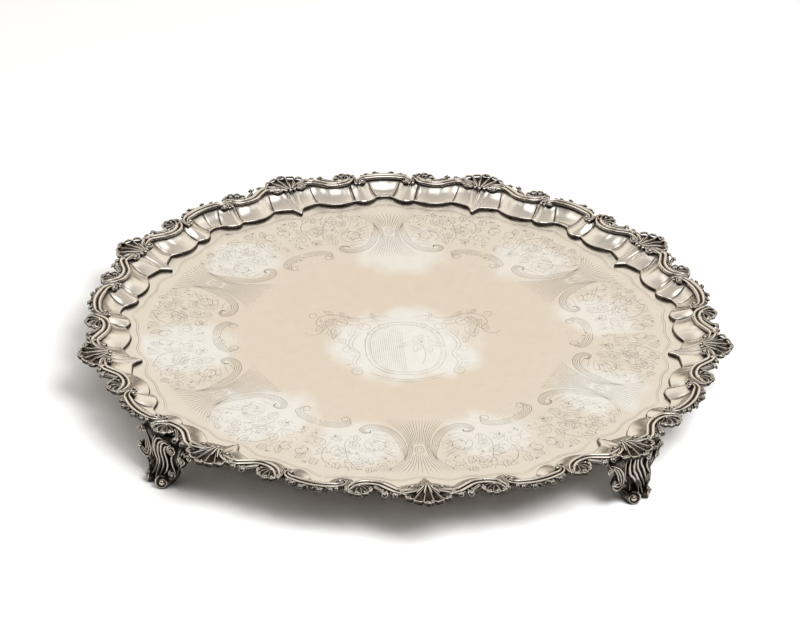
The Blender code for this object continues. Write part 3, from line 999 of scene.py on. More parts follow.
def build_floor():
    # engraved band: one fan compartment, mirrored, then turned six times
    sector = fan_design().mirrored()
    sector.lines += fan_axis_extra().lines
    boundary = arc(R_OUT, -30, 30, 0.5) + arc(R_IN, -30, 30, 0.5)[::-1]

    def ok(x, y):
        r, a = math.hypot(x, y), math.degrees(math.atan2(y, x))
        return R_IN + 0.008 < r < R_OUT - 0.008 and abs(a) < 29.4

    def keep(m):
        r, a = np.hypot(m[:, 0], m[:, 1]), np.degrees(np.arctan2(m[:, 1], m[:, 0]))
        return (r < R_OUT) & (r > R_IN * 0.99998) & (np.abs(a) < 30)
    v, f, d = engrave(sector, boundary, hexgrid(0.4, 1.0, -0.55, 0.55, 0.019, ok), keep)
    for part in range(3):
        vs, fs, ds, n = [], [], [], 0
        for k in range(2):
            w = spin(np.column_stack([v, np.zeros(len(v))]), 90.0 + 60.0 * (2 * part + k))[:, :2]
            vs.append(w)
            fs.append(f + n)
            ds.append(d)
            n += len(v)
        vv, ff, dd = np.concatenate(vs), np.concatenate(fs), np.concatenate(ds)
        top = np.stack([vv[:, 0] * U, vv[:, 1] * U, -dd * DEPTH], -1)
        # strokes darkened along their cut: painted shade of the groove, with oxide in it
        piece(f"plate_engraved_band_{part + 1}", place(top), [tuple(t) for t in ff.tolist()], np.clip(dd * 1.7, 0, 1) * 0.92, SHEET_MAT, ["plate"], "sheet_silver", painted_glare=painted_glare_at(vv), heal=False)
    # plain rim of the floor with its scalloped line
    rim = rim_design().mirrored()
    outer = [(panel_edge(a) + 0.0006, a) for a in np.linspace(-20, 20, 161)]
    outer = [(r * math.cos(a * D2R), r * math.sin(a * D2R)) for r, a in outer]
    boundary = outer + arc(R_OUT, -20, 20, 0.5)[::-1]

    def ok2(x, y):
        r, a = math.hypot(x, y), math.degrees(math.atan2(y, x))
        return abs(a) < 19.5 and R_OUT + 0.008 < r < panel_edge(a) - 0.008

    def keep2(m):
        r, a = np.hypot(m[:, 0], m[:, 1]), np.degrees(np.arctan2(m[:, 1], m[:, 0]))
        lim = np.array([panel_edge(x) + 0.0006 for x in a])
        return (r < lim) & (r > R_OUT * 0.99998) & (np.abs(a) < 20)
    v, f, d = engrave(rim, boundary, hexgrid(0.85, 1.1, -0.4, 0.4, 0.019, ok2), keep2)
    vs, fs, ds, n = [], [], [], 0
    for k in range(9):
        w = spin(np.column_stack([v, np.zeros(len(v))]), FIRST + STEP * k)[:, :2]
        vs.append(w)
        fs.append(f + n)
        ds.append(d)
        n += len(v)
    vv, ff, dd = np.concatenate(vs), np.concatenate(fs), np.concatenate(ds)
    top = np.stack([vv[:, 0] * U, vv[:, 1] * U, -dd * DEPTH], -1)
    # strokes darkened along their cut: painted shade of the groove, with oxide in it
    piece("plate_floor_rim", place(top), [tuple(t) for t in ff.tolist()], np.clip(dd * 1.7, 0, 1) * 0.85, SHEET_MAT, ["plate"], "sheet_silver", painted_glare=painted_glare_at(vv), heal=False)
    # centre with the cartouche
    mid = centre_design()
    boundary = arc(R_IN, 0, 360, 0.5)[:-1]
    v, f, d = engrave(mid, boundary, hexgrid(-0.6, 0.6, -0.6, 0.6, 0.017, lambda x, y: math.hypot(x, y) < R_IN - 0.008), lambda m: np.hypot(m[:, 0], m[:, 1]) < R_IN)
    top = np.stack([v[:, 0] * U, v[:, 1] * U, -d * DEPTH], -1)
    # strokes darkened along their cut: painted shade of the groove, with oxide in it
    piece("plate_centre", place(top), [tuple(t) for t in f.tolist()], np.clip(d * 1.7, 0, 1) * 0.80, SHEET_MAT, ["plate"], "sheet_silver", painted_glare=painted_glare_at(v), heal=False)
    # underside of the floor: a closed disc just below the engraved face
    n = 360
    rows = [(0.0, -0.00045)] + [(r, -0.00045) for r in (0.3, 0.6, 0.9)] + [(None, -0.00045), (None, -SHEET)] + [(r, -SHEET) for r in (0.9, 0.6, 0.3)] + [(0.0, -SHEET)]
    v, f = [], []
    for r, z in rows[1:-1]:
        for i in range(n):
            a = 360.0 * i / n
            rr = (panel_edge(fold(a)) + 0.0012) if r is None else r
            v.append((rr * U * math.cos(a * D2R), rr * U * math.sin(a * D2R), z))
    k = len(rows) - 2
    f = grid_faces(k, n, wrap=True)
    v += [(0, 0, -0.00045), (0, 0, -SHEET)]
    for i in range(n):
        j = (i + 1) % n
        f.append((len(v) - 2, i, j))
        f.append((len(v) - 1, (k - 1) * n + j, (k - 1) * n + i))
    piece("plate_floor_underside", place(v), f, np.full(len(v), 0.06), UNDER_MAT, ["plate"], "sheet_silver")


build_floor()

# ------------------------------------------------------------------ cast border
# across (half widths), up (metres above the bed), darkening: oxide and painted shade in the groove and at the foot of
# the moulding
PROFILE = [(-1.0, 0.0, 0.7), (-0.99, 0.0014, 0.2), (-0.94, 0.0026, 0.0), (-0.84, 0.0034, 0.0), (-0.68, 0.0037, 0.0), (-0.50, 0.0036, 0.0), (-0.34, 0.0031, 0.05),
           (-0.22, 0.0024, 0.30), (-0.14, 0.0018, 0.80), (-0.06, 0.0017, 0.85), (0.02, 0.0018, 0.80), (0.10, 0.0024, 0.30), (0.22, 0.0031, 0.05), (0.38, 0.0036, 0.0),
           (0.56, 0.0038, 0.0), (0.72, 0.0037, 0.0), (0.84, 0.0033, 0.0), (0.92, 0.0026, 0.1), (0.98, 0.0015, 0.8), (1.0, 0.0, 1.0)]
BEDZ = BED * U
S_PATH = [  # angle from the shell, radius, width factor: from the hook round to the coil beside the shell
    (13.20, 1.182, 0.35), (13.60, 1.170, 0.50), (13.35, 1.150, 0.75), (12.50, 1.128, 0.95), (11.40, 1.116, 1.0), (10.20, 1.112, 1.0), (9.00, 1.114, 1.0), (7.90, 1.121, 1.0), (6.90, 1.134, 1.0),
    (5.90, 1.148, 1.0), (5.30, 1.156, 1.0), (4.40, 1.160, 1.0), (3.40, 1.157, 0.9), (2.40, 1.150, 0.75), (1.75, 1.141, 0.60), (1.65, 1.131, 0.50), (2.10, 1.123, 0.42), (2.80, 1.121, 0.38),
    (3.30, 1.127, 0.33), (3.20, 1.134, 0.30), (2.70, 1.136, 0.28)]
C_PATH = [(16.10, 1.126, 0.24), (15.85, 1.119, 0.28), (15.30, 1.114, 0.34), (14.75, 1.118, 0.42), (14.65, 1.129, 0.54), (15.05, 1.141, 0.70), (15.90, 1.152, 0.86), (17.00, 1.157, 0.98), (18.40, 1.162, 1.02), (20.0, 1.164, 1.04)]


def moulding(bag, ctrl, n, cut_at=None, side=None, sign=1, flipped=False):
    p = spline(ctrl, n)
    if cut_at is not None:
        # the crossing of the split line nearest the middle of the path
        a = p[:, 0]
        idx = int(np.argmin(np.abs(a - cut_at) + 1e3 * (p[:, 1] > 1.13)))
        p = p[: idx + 1] if side == "hook" else p[idx:]
    xy = pol(p[:, 1], p[:, 0] * sign)
    z = np.full(len(p), BEDZ)
    w = p[:, 2] * MOULD * U
    prof = np.array(PROFILE)
    if flipped:
        prof[:, 0] = -prof[:, 0]
    # narrow ends ride a little lower
    h = 0.55 + 0.45 * np.clip(p[:, 2], 0, 1)
    tube(bag, np.column_stack([xy, z]), prof, w, h, cav=0.12 * (1 - np.clip(p[:, 2], 0, 1)))


def fan(bag, base, turn, lobes, spread, z_base, z_mid, z_tip, relief=0.0018, nt=20, start=0.08, curls=(), curl_r=0.0018, rim=0.0009):
    """A shell: hollow lobes between narrow ribs, with a rolled, scalloped rim.
    base is (radius, angle) in plan, turn the way it opens (degrees from radial); lobes are lengths in metres."""
    n = len(lobes)
    gap = 2 * spread / n
    nphi = n * 14 + 1
    phi = np.linspace(-spread, spread, nphi)
    t = np.linspace(start, 1.0, nt)
    b = pol(base[0], base[1])
    ang0 = (base[1] + turn) * D2R

    def across(ph):
        q = (ph + spread) / gap - 0.5
        i = int(np.clip(round(q), 0, n - 1))
        d = min(0.5, abs(q - i))
        j = int(np.clip(i + (1 if q > i else -1), 0, n - 1))
        length = lobes[i] + (lobes[j] - lobes[i]) * d
        return length * (0.86 + 0.14 * math.sqrt(max(0.0, 1 - (2 * d) ** 2.4))), (2 * d) ** 3.2

    def height(sv):
        if sv < 0.5:
            return z_base + (z_mid - z_base) * math.sin(math.pi * sv)
        return z_mid + (z_tip - z_mid) * ((sv - 0.5) / 0.5) ** 1.5
    v, c = [], []
    for under in (0, 1):
        for ph in phi:
            length, ridge = across(ph)
            a = ang0 + ph * D2R
            for sv in t:
                r = length * sv
                z = height(sv)
                # underside painted dark as shade; on top the hollows between the ribs are darker: oxide and painted
                # shade
                if under:
                    v.append((b[0] + r * math.cos(a), b[1] + r * math.sin(a), max(BEDZ - 0.0002, z - 0.0032)))
                    c.append(0.9)
                else:
                    h = relief * (ridge - 1) * min(1, sv * 2.0)
                    v.append((b[0] + r * math.cos(a), b[1] + r * math.sin(a), z + h))
                    c.append(float(np.clip(1.15 * (1 - ridge) * min(1, 0.25 + sv * 1.6), 0, 1)))
    m = nphi * nt
    f = [x[::-1] for x in grid_faces(nphi, nt)] + grid_faces(nphi, nt, off=m)
    for i in range(nphi - 1):
        a, d = i * nt, (i + 1) * nt
        f += [(d, a, a + m, d + m), (a + nt - 1, d + nt - 1, d + nt - 1 + m, a + nt - 1 + m)]
    for j in range(nt - 1):
        e = (nphi - 1) * nt
        f += [(j, j + 1, j + 1 + m, j + m), (e + j + 1, e + j, e + j + m, e + j + 1 + m)]
    bag.add(v, f, c)
    pts, rad = [], []
    for ph in np.linspace(-spread, spread, n * 12 + 1):
        length, ridge = across(ph)
        a = ang0 + ph * D2R
        pts.append((b[0] + length * math.cos(a), b[1] + length * math.sin(a), z_tip - 0.0001 - 0.0002 * ridge))
        rad.append(rim * (1.0 - 0.35 * ridge))
    tube(bag, pts, round_profile(8, 1.0, 0.5), np.array(rad), np.array(rad) * 1.15)
    for i in curls:
        ln = lobes[i]
        a = ang0 + (-spread + gap * (i + 0.5)) * D2R
        size = curl_r * (1.55 if i * 2 == n - 1 else 1.0)
        out = Vector((math.cos(a), math.sin(a), 0))
        at = Vector((b[0], b[1], 0)) + out * (ln - size * 0.62)
        at.z = z_tip + 0.0002
        curl(bag, at, (out.x * 0.72, out.y * 0.72, 0.69), size, (-out.x, -out.y, 0.9), turns=1.35, thick=0.60, eye=0.45, steps=24, hand=1 if i * 2 >= n else -1)


def taper_leaf(bag, ctrl, z, w0, w1, n=16, h0=0.0022, h1=0.0016, cav=0.0):
    """A short leaf or tendril lying on the border, following plan points (angle, radius)."""
    p = spline(ctrl, n)
    xy = pol(p[:, 1], p[:, 0])
    t = np.linspace(0, 1, n)
    w = (w0 + (w1 - w0) * t) * np.clip(t * 8 + 0.3, 0, 1)
    h = h0 + (h1 - h0) * t
    zz = np.full(n, z)
    # the leaf's sides and midrib groove are darker: oxide and painted shade
    prof = [(-1.0, -1.0, 0.9), (-1.0, -0.2, 0.8), (-0.72, 0.55, 0.15), (-0.45, 0.9, 0.0), (-0.22, 0.45, 0.55), (0.0, 0.25, 0.8), (0.22, 0.45, 0.55), (0.45, 0.9, 0.0), (0.72, 0.55, 0.15), (1.0, -0.2, 0.8), (1.0, -1.0, 0.9)]
    tube(bag, np.column_stack([xy, zz]), prof, w, h, cav=np.full(n, cav))
    return xy[-1]


TOPZ = TOP * U


def half_shell_side():
    """Everything on the positive side of a large shell, out to the split."""
    b = Bag()
    moulding(b, S_PATH, 130, SPLIT, "coil")
    # eye of the coil beside the shell
    x, y = pol(1.129, 2.65)
    ball(b, (x, y, BEDZ + 0.0022), 0.0017, 10, 7)
    # small curled leaf between the moulding and the shell wing
    e = taper_leaf(b, [(9.4, 1.134), (8.6, 1.146), (7.8, 1.160), (7.35, 1.174)], BEDZ + 0.0016, 0.0016, 0.0014)
    out = Vector((e[0], e[1], 0)).normalized()
    curl(b, (e[0] + out.x * 0.0012, e[1] + out.y * 0.0012, BEDZ + 0.0018), (out.x * 0.7, out.y * 0.7, 0.7), 0.0028, (-out.x, -out.y, 0.8), thick=0.7, eye=0.5)
    # fringe of small teeth along the outside of the moulding
    for i in range(6):
        a = 6.3 + 0.72 * i
        r = float(np.interp(a, (6.1, 7.1, 8.1, 9.2, 10.3), (1.165, 1.153, 1.141, 1.134, 1.133)))
        x, y = pol(r, a)
        ball(b, (x, y, BEDZ + 0.0012), 0.0011, 8, 6)
        taper_leaf(b, [(a, r), (a - 0.25, r + 0.010)], BEDZ + 0.0010, 0.0009, 0.0006, n=6, h0=0.0012, h1=0.0008, cav=0.1)
    # beads at the root of the shell
    for a, r, s in ((0.95, 1.1185, 0.0016), (1.75, 1.127, 0.0013)):
        x, y = pol(r, a)
        ball(b, (x, y, BEDZ + 0.0018), s, 10, 7)
    # wing that sweeps from the coil out to the shell's side lobe
    e = taper_leaf(b, [(2.0, 1.140), (2.9, 1.158), (4.1, 1.170), (5.5, 1.178)], BEDZ + 0.0016, 0.0018, 0.0015)
    out = Vector((e[0], e[1], 0)).normalized()
    curl(b, (e[0] + out.x * 0.0008, e[1] + out.y * 0.0008, BEDZ + 0.0020), (out.x * 0.7, out.y * 0.7, 0.7), 0.0023, (-out.x, -out.y, 0.8), thick=0.7, eye=0.5, hand=-1)
    return b


def shell_template():
    b = Bag()
    s = half_shell_side()
    b.add_bag(s)
    b.add_bag(s, flip=True)
    L = U * 0.001
    fan(b, (1.119, 0.0), 0.0, [101 * L, 108 * L, 108 * L, 114 * L, 108 * L, 108 * L, 101 * L], 75, BEDZ + 0.0026, BEDZ + 0.0037, BEDZ + 0.0026, relief=0.0025, nt=22, curls=(0, 1, 3, 5, 6), curl_r=0.0020, rim=0.0010)
    # short bright root leaves over the middle of the shell
    for a in (-1.15, -0.40, 0.40, 1.15):
        p = spline([(a * 0.5, 1.121), (a * 0.8, 1.136), (a * 1.35, 1.156), (a * 1.7, 1.170)], 18)
        xy = pol(p[:, 1], p[:, 0])
        t = np.linspace(0, 1, 18)
        tube(b, np.column_stack([xy, BEDZ + 0.0029 + 0.0005 * np.sin(math.pi * t)]), round_profile(8), 0.00085 * (1 - 0.45 * t), 0.0009 * (1 - 0.4 * t))
    x, y = pol(1.114, 0.0)
    ball(b, (x, y, BEDZ + 0.0020), 0.0018, 10, 7)
    return b


def half_scroll_side():
    b = Bag()
    moulding(b, S_PATH, 130, SPLIT, "hook")
    # medium crest cupped in the hook
    L = U * 0.001
    fan(b, (1.136, 11.9), -3.0, [49 * L, 54 * L, 57 * L, 54 * L, 49 * L], 80, BEDZ + 0.0025, BEDZ + 0.0037, BEDZ + 0.0021, relief=0.0019, nt=14, curls=(0, 1, 2, 3, 4), curl_r=0.0015, rim=0.0009)
    x, y = pol(1.138, 11.9)
    ball(b, (x, y, BEDZ + 0.0022), 0.0014, 10, 7)
    # tendril from the hook's foot up beside the crest
    e = taper_leaf(b, [(13.9, 1.108), (14.05, 1.128), (14.15, 1.150), (13.9, 1.172)], BEDZ + 0.0016, 0.0014, 0.0013)
    out = Vector((e[0], e[1], 0)).normalized()
    curl(b, (e[0], e[1], BEDZ + 0.0020), (out.x * 0.7, out.y * 0.7, 0.7), 0.0020, (-out.x, -out.y, 0.8), thick=0.7, eye=0.5)
    # beads between the hook and the next volute
    for a, r, s in ((14.0, 1.104, 0.0015), (14.75, 1.103, 0.0013), (15.45, 1.122, 0.0017)):
        x, y = pol(r, a)
        ball(b, (x, y, BEDZ + 0.0019), s, 10, 7)
    for i in range(3):
        a = 10.6 + 0.62 * i
        x, y = pol(1.135 + 0.0015 * i, a)
        ball(b, (x, y, BEDZ + 0.0011), 0.0010, 8, 6)
    # crest lobes outside the arched moulding
    for a, r0, r1, s in ((15.7, 1.160, 1.170, 0.0016), (16.6, 1.168, 1.181, 0.0019), (18.4, 1.176, 1.192, 0.0022)):
        e = taper_leaf(b, [(a + 0.9, r0), (a + 0.5, r0 + (r1 - r0) * 0.5), (a, r1)], BEDZ + 0.0016, 0.0017, 0.0013, n=12)
        out = Vector((e[0], e[1], 0)).normalized()
        curl(b, (e[0] + out.x * 0.0004, e[1] + out.y * 0.0004, BEDZ + 0.0019), (out.x * 0.72, out.y * 0.72, 0.68), s, (-out.x, -out.y, 0.8), thick=0.7, eye=0.5)
    for i in range(6):
        a = 15.6 + 0.78 * i
        r = float(np.interp(a, (15, 16, 17, 18.4, 20), (1.158, 1.168, 1.176, 1.181, 1.183)))
        x, y = pol(r, a)
        ball(b, (x, y, BEDZ + 0.0013), 0.0012, 8, 6)
        taper_leaf(b, [(a, r), (a + 0.15, r + 0.009)], BEDZ + 0.0011, 0.0010, 0.0007, n=6, h0=0.0012, h1=0.0008, cav=0.1)
    return b


def scroll_template():
    """Between two shells: hooks, crests and the arched moulding, centred on +X."""
    b = Bag()
    s = half_scroll_side()
    # the half is measured from the shell at 0, so turn it to put 20 degrees on +X
    b.add_bag(s, turn=-20.0)
    v, f, c = s.arrays()
    v = v.copy()
    v[:, 1] = -v[:, 1]
    b.add(spin(v, 20.0), [x[::-1] for x in f], c)
    left = [(a - 20.0, r, w) for a, r, w in C_PATH]
    right = [(20.0 - a, r, w) for a, r, w in C_PATH[:-1]][::-1]
    p = spline(left + right, 130)
    xy = pol(p[:, 1], p[:, 0])
    prof = np.array(PROFILE)
    prof[:, 0] = -prof[:, 0]
    # path runs clockwise to anticlockwise, so the outer fillet is on its right
    tube(b, np.column_stack([xy, np.full(130, BEDZ)]), prof, p[:, 2] * MOULD * U, 0.55 + 0.45 * np.clip(p[:, 2], 0, 1), cav=0.12 * (1 - np.clip(p[:, 2], 0, 1)))
    return b


def inside(v, reach):
    """Keeps a casting within the greatest radius and height it has in the CAD."""
    v = v.copy()
    r = np.hypot(v[:, 0], v[:, 1])
    k = np.where(r > reach * U, reach * U / r, 1.0)
    v[:, 0] *= k
    v[:, 1] *= k
    v[:, 2] = np.minimum(v[:, 2], TOPZ)
    return v


def build_border():
    for name, tpl, shift, slot in (("shell", shell_template(), 0.0, "cast_silver_shells"), ("scroll", scroll_template(), -20.0, "cast_silver_scrolls")):
        # occlusion darkening (oxide and painted shade) with strong painted shade on the outward, downward faces
        v, f, c = occlude(tpl, gain=1.9, floor_z=BEDZ, outward=Vector((0.90, 0, -0.43)), shade=2.3)
        v = inside(v, 1.2365 if name == "shell" else 1.1985)
        # the fringe outside the moulding is darkened further, and more where the mask is already dark
        fringe = np.clip((np.hypot(v[:, 0], v[:, 1]) / U - 1.170) / 0.020, 0, 1)
        c = np.clip(c + fringe * (0.14 + 0.45 * c), 0, 0.97)
        for k in range(9):
            piece(f"border_{name}_{k + 1}", place(v, FIRST - STEP * k + shift), f, c, CAST_MAT, [f"{name}_casting_{k + 1}"], slot)


build_border()

# ------------------------------------------------------------------ feet
FOOT_TOP = FLOOR + FLANGE * U - SHEET - 0.0003


def foot_template():
    """Cast bracket: x along the rim, y outward, z up from the table. Its two sides differ."""
    b = Bag()
    out = (0, 1, 0)
    # rib section: flanks painted dark and only the crest left bright, as painted shade
    crest = [(math.cos(2 * math.pi * k / 12), math.sin(2 * math.pi * k / 12), 0.95 if k % 12 > 6 or k % 12 == 0 else 0.95 * (1 - math.sin(2 * math.pi * k / 12) ** 6)) for k in range(12)]
    # mounting flange under the border, painted fully dark as shade
    w, n = 0.0285, 28
    v = []
    for z, k in ((FOOT_TOP, 1.0), (FOOT_TOP - 0.0014, 0.94)):
        for i in range(n):
            a = 2 * math.pi * i / n
            x = w * k * math.copysign(abs(math.cos(a)) ** 0.8, math.cos(a))
            y = -0.0056 + 0.0040 * k * math.copysign(abs(math.sin(a)) ** 0.7, math.sin(a))
            v.append((x, y, z))
    f = [tuple(range(n)), tuple(range(2 * n - 1, n - 1, -1))] + [(i, n + i, n + (i + 1) % n, (i + 1) % n) for i in range(n)]
    b.add(v, f, 1.0)
    # solid web that carries the scrolls, painted nearly black as shade behind the ribs
    low_side = ((0.0020, -0.0085), (0.0050, -0.0110), (0.0080, -0.0122), (0.0105, -0.0136), (0.0122, -0.0152), (0.0142, -0.0172), (0.0155, -0.0222), (0.0175, -0.0252), (0.0205, -0.0276), (0.0235, -0.0284), (0.0262, -0.0266), (0.0285, -0.0243), (0.0322, -0.0238), (0.0362, -0.0256), (0.0404, -0.0288))
    high_side = ((0.0020, 0.0070), (0.0050, 0.0100), (0.0080, 0.0132), (0.0120, 0.0164), (0.0150, 0.0180), (0.0195, 0.0184), (0.0218, 0.0204), (0.0238, 0.0238), (0.0275, 0.0262), (0.0312, 0.0290), (0.0360, 0.0304), (0.0404, 0.0310))
    face = ((0.0, 0.0010), (0.006, 0.0036), (0.010, 0.0034), (0.014, 0.0014), (0.020, -0.0008), (0.030, -0.0014), (0.036, -0.0016), (0.0404, -0.0034))
    at = lambda table, z: float(np.interp(z, [p[0] for p in table], [p[1] for p in table]))
    zs = np.linspace(0.0020, FOOT_TOP - 0.0006, 46)
    m = 29
    v, c = [], []
    for side in (0, 1):
        for z in zs:
            lo, hi, y = at(low_side, z), at(high_side, z), at(face, z)
            for j in range(m):
                u = -1 + 2 * j / (m - 1)
                wave = 0.00035 * math.sin(11 * u + 60 * z) * (1 - side)
                v.append((lo + (hi - lo) * (u + 1) / 2, y - 0.0032 * side * (1 - 0.6 * abs(u) ** 3) + 0.0012 * (1 - u * u) + wave, z))
                c.append(0.90)
    rows = len(zs)
    k = rows * m
    f = grid_faces(rows, m) + [x[::-1] for x in grid_faces(rows, m, off=k)]
    for i in range(rows - 1):
        f += [((i + 1) * m, i * m, i * m + k, (i + 1) * m + k), (i * m + m - 1, (i + 1) * m + m - 1, (i + 1) * m + m - 1 + k, i * m + m - 1 + k)]
    for j in range(m - 1):
        e = (rows - 1) * m
        f += [(j, j + 1, j + 1 + k, j + k), (e + j + 1, e + j, e + j + k, e + j + 1 + k)]
    b.add(v, f, c)

    def rib(path, wide, n=64, tall=0.9, low=0.22):
        """Broad convex ridge that swells in its middle and runs out at both ends."""
        p = spline([(x, y, z) for x, y, z in path], n)
        t = np.linspace(0, 1, n)
        r = wide * (low + (1 - low) * np.sin(math.pi * np.clip(t * 0.96 + 0.02, 0, 1)) ** 0.8)
        tube(b, p, crest, r, r * tall, up=out)
    # S-shaped ridges from the knee down between the two volutes of the toe
    rib([(0.0040, -0.0010, 0.0396), (-0.0060, -0.0008, 0.0384), (-0.0088, 0.0000, 0.0341), (-0.0092, 0.0004, 0.0286), (-0.0076, 0.0004, 0.0239), (-0.0046, 0.0008, 0.0204), (-0.0031, 0.0022, 0.0170), (-0.0030, 0.0044, 0.0136), (-0.0040, 0.0066, 0.0104), (-0.0052, 0.0082, 0.0074)], 0.0019)
    rib([(0.0085, -0.0006, 0.0396), (0.0020, -0.0004, 0.0392), (-0.0030, 0.0002, 0.0361), (-0.0045, 0.0006, 0.0316), (-0.0041, 0.0006, 0.0268), (-0.0017, 0.0010, 0.0224), (-0.0004, 0.0022, 0.0180), (0.0000, 0.0046, 0.0134), (0.0002, 0.0066, 0.0098), (0.0004, 0.0078, 0.0064)], 0.0019)
    rib([(0.0092, 0.0002, 0.0382), (0.0038, 0.0004, 0.0388), (0.0002, 0.0006, 0.0360), (-0.0006, 0.0008, 0.0310), (0.0006, 0.0008, 0.0264), (0.0028, 0.0010, 0.0220), (0.0040, 0.0022, 0.0176), (0.0040, 0.0044, 0.0138), (0.0034, 0.0066, 0.0104)], 0.0018)
    rib([(0.0098, 0.0006, 0.0346), (0.0058, 0.0006, 0.0364), (0.0035, 0.0008, 0.0334), (0.0044, 0.0008, 0.0288), (0.0068, 0.0008, 0.0244), (0.0082, 0.0014, 0.0198), (0.0082, 0.0030, 0.0156), (0.0074, 0.0050, 0.0128)], 0.0016)
    rib([(0.0156, 0.0002, 0.0346), (0.0128, 0.0002, 0.0310), (0.0114, 0.0002, 0.0272), (0.0124, 0.0002, 0.0228), (0.0146, 0.0004, 0.0186), (0.0166, 0.0006, 0.0150)], 0.0014, 46)
    rib([(-0.0100, -0.0012, 0.0390), (-0.0122, -0.0010, 0.0349), (-0.0128, -0.0008, 0.0290), (-0.0132, -0.0006, 0.0224), (-0.0112, -0.0002, 0.0184), (-0.0136, 0.0000, 0.0150)], 0.0012, 46)
    rib([(-0.0086, 0.0006, 0.0182), (-0.0100, 0.0022, 0.0150), (-0.0118, 0.0044, 0.0128)], 0.0012, 26)
    # knee coil and the small curls of one side
    curl(b, (0.0124, 0.0014, 0.0358), (0.25, 0.95, 0.1), 0.0043, (-0.3, 0, 1), turns=1.7, thick=0.42, eye=0.34, steps=46, hand=-1)
    curl(b, (0.0240, 0.0004, 0.0306), (0.3, 0.95, 0.0), 0.0034, (-0.3, 0, 1), turns=1.45, thick=0.50, eye=0.42, steps=30, hand=-1)
    curl(b, (0.0136, 0.0016, 0.0136), (0.3, 0.95, 0.1), 0.0036, (-0.6, 0, 1), turns=1.5, thick=0.46, eye=0.42, steps=32, hand=-1)
    for k in range(3):
        rib([(0.0196 + 0.0034 * k, -0.0022, 0.0392 - 0.0004 * k), (0.0190 + 0.0030 * k, -0.0016, 0.0350), (0.0172 + 0.0026 * k, -0.0012, 0.0284 - 0.0012 * k), (0.0160 + 0.0012 * k, -0.0010, 0.0222 - 0.0010 * k)], 0.0013, 34)
    # large C scroll of the other side: nested ridges that coil to a small eye
    path = [(-0.0302, -0.0034, 0.0394), (-0.0256, -0.0026, 0.0382), (-0.0199, -0.0012, 0.0344), (-0.0158, -0.0006, 0.0280), (-0.0147, -0.0004, 0.0218), (-0.0160, -0.0002, 0.0172), (-0.0196, 0.0000, 0.0150),
            (-0.0238, 0.0002, 0.0162), (-0.0270, 0.0004, 0.0190), (-0.0286, 0.0006, 0.0224), (-0.0280, 0.0008, 0.0252), (-0.0262, 0.0010, 0.0258), (-0.0250, 0.0010, 0.0242)]
    base = spline(path, 96)
    g = np.gradient(base, axis=0)
    g /= np.linalg.norm(g, axis=1)[:, None]
    side = np.cross(g, np.array(out, float))
    side /= np.linalg.norm(side, axis=1)[:, None]
    # towards the middle of the coil
    if np.dot(side[48], np.array((-0.0265, 0.0, 0.0230)) - base[48]) < 0:
        side = -side
    t = np.linspace(0, 1, 96)
    env = np.clip(t * 4, 0.30, 1) * np.clip((1 - t) * 2.4, 0.20, 1)
    for off, rad in ((0.0, 0.0014), (0.0030, 0.0012), (0.0058, 0.0012)):
        p = base + side * (off * env)[:, None]
        r = rad * (0.35 + 0.65 * env)
        tube(b, p, crest, r, r * 0.9, up=out)
    ball(b, (-0.0268, 0.0010, 0.0230), 0.0022, 12, 8)
    # leaves that run out to the ends of the flange
    for sgn in (-1, 1):
        arm = spline([(0.0225 * sgn, -0.0026, 0.0370), (0.0262 * sgn, -0.0018, 0.0360), (0.0300 * sgn, -0.0024, 0.0380)], 18)
        tube(b, arm, round_profile(8, 1.0, 0.9), np.linspace(0.0011, 0.0014, 18), np.linspace(0.0012, 0.0015, 18), up=out)
        curl(b, (0.0305 * sgn, -0.0010, 0.0358), (0.15 * sgn, 1, 0.1), 0.0026, (-sgn, 0, 0.4), turns=1.4, thick=0.6, eye=0.48, steps=24)
    # toe: two volutes turned diagonally outward, each with a round eye and a body that runs inward on the table
    for sgn, cx in ((-1, -0.0092), (1, 0.0074)):
        nrm = Vector((0.66 * sgn, 0.74, 0.12)).normalized()
        eye = Vector((cx, 0.0074, 0.0060))
        curl(b, eye, nrm, 0.0058, (-0.5 * sgn, 0.2, 1), turns=1.15, thick=0.26, eye=0.0, steps=44, hand=-sgn)
        ball(b, eye + nrm * 0.0008, 0.0026, 14, 10)
        e1 = nrm.cross(Vector((0, 0, 1))).normalized()
        e2 = nrm.cross(e1)
        v, c = [], []
        # rings of the toe volute, mostly painted dark as shade low under the foot
        for h, rr, dk in ((-0.0060, 0.0030, 1.0), (-0.0046, 0.0050, 1.0), (-0.0012, 0.0057, 0.85), (0.0004, 0.0056, 0.85), (0.0002, 0.0045, 1.0)):
            for j in range(28):
                a = 2 * math.pi * j / 28
                v.append(tuple(eye + nrm * h + e1 * (rr * math.cos(a)) + e2 * (rr * math.sin(a))))
                c.append(dk)
        f = grid_faces(5, 28, wrap=True) + [tuple(range(28))[::-1], tuple(112 + j for j in range(28))]
        b.add(v, f, c)
        v, c = [], []
        n = 22
        # body that runs inward on the table, painted dark as shade
        run = ((0.0062, 0.0030, 0.0056), (0.0050, 0.0050, 0.0051), (0.0010, 0.0052, 0.0051), (-0.0050, 0.0042, 0.0050), (-0.0100, 0.0032, 0.0062), (-0.0128, 0.0020, 0.0070), (-0.0134, 0.0008, 0.0074))
        for y, rr, zc in run:
            for j in range(n):
                a = 2 * math.pi * j / n
                v.append((cx * (0.86 + 8 * y) + 0.95 * rr * math.cos(a), y, zc + rr * math.sin(a)))
                c.append(0.86)
        f = grid_faces(len(run), n, wrap=True) + [tuple(range(n)), tuple((len(run) - 1) * n + j for j in range(n))[::-1]]
        b.add(v, f, c)
    return b


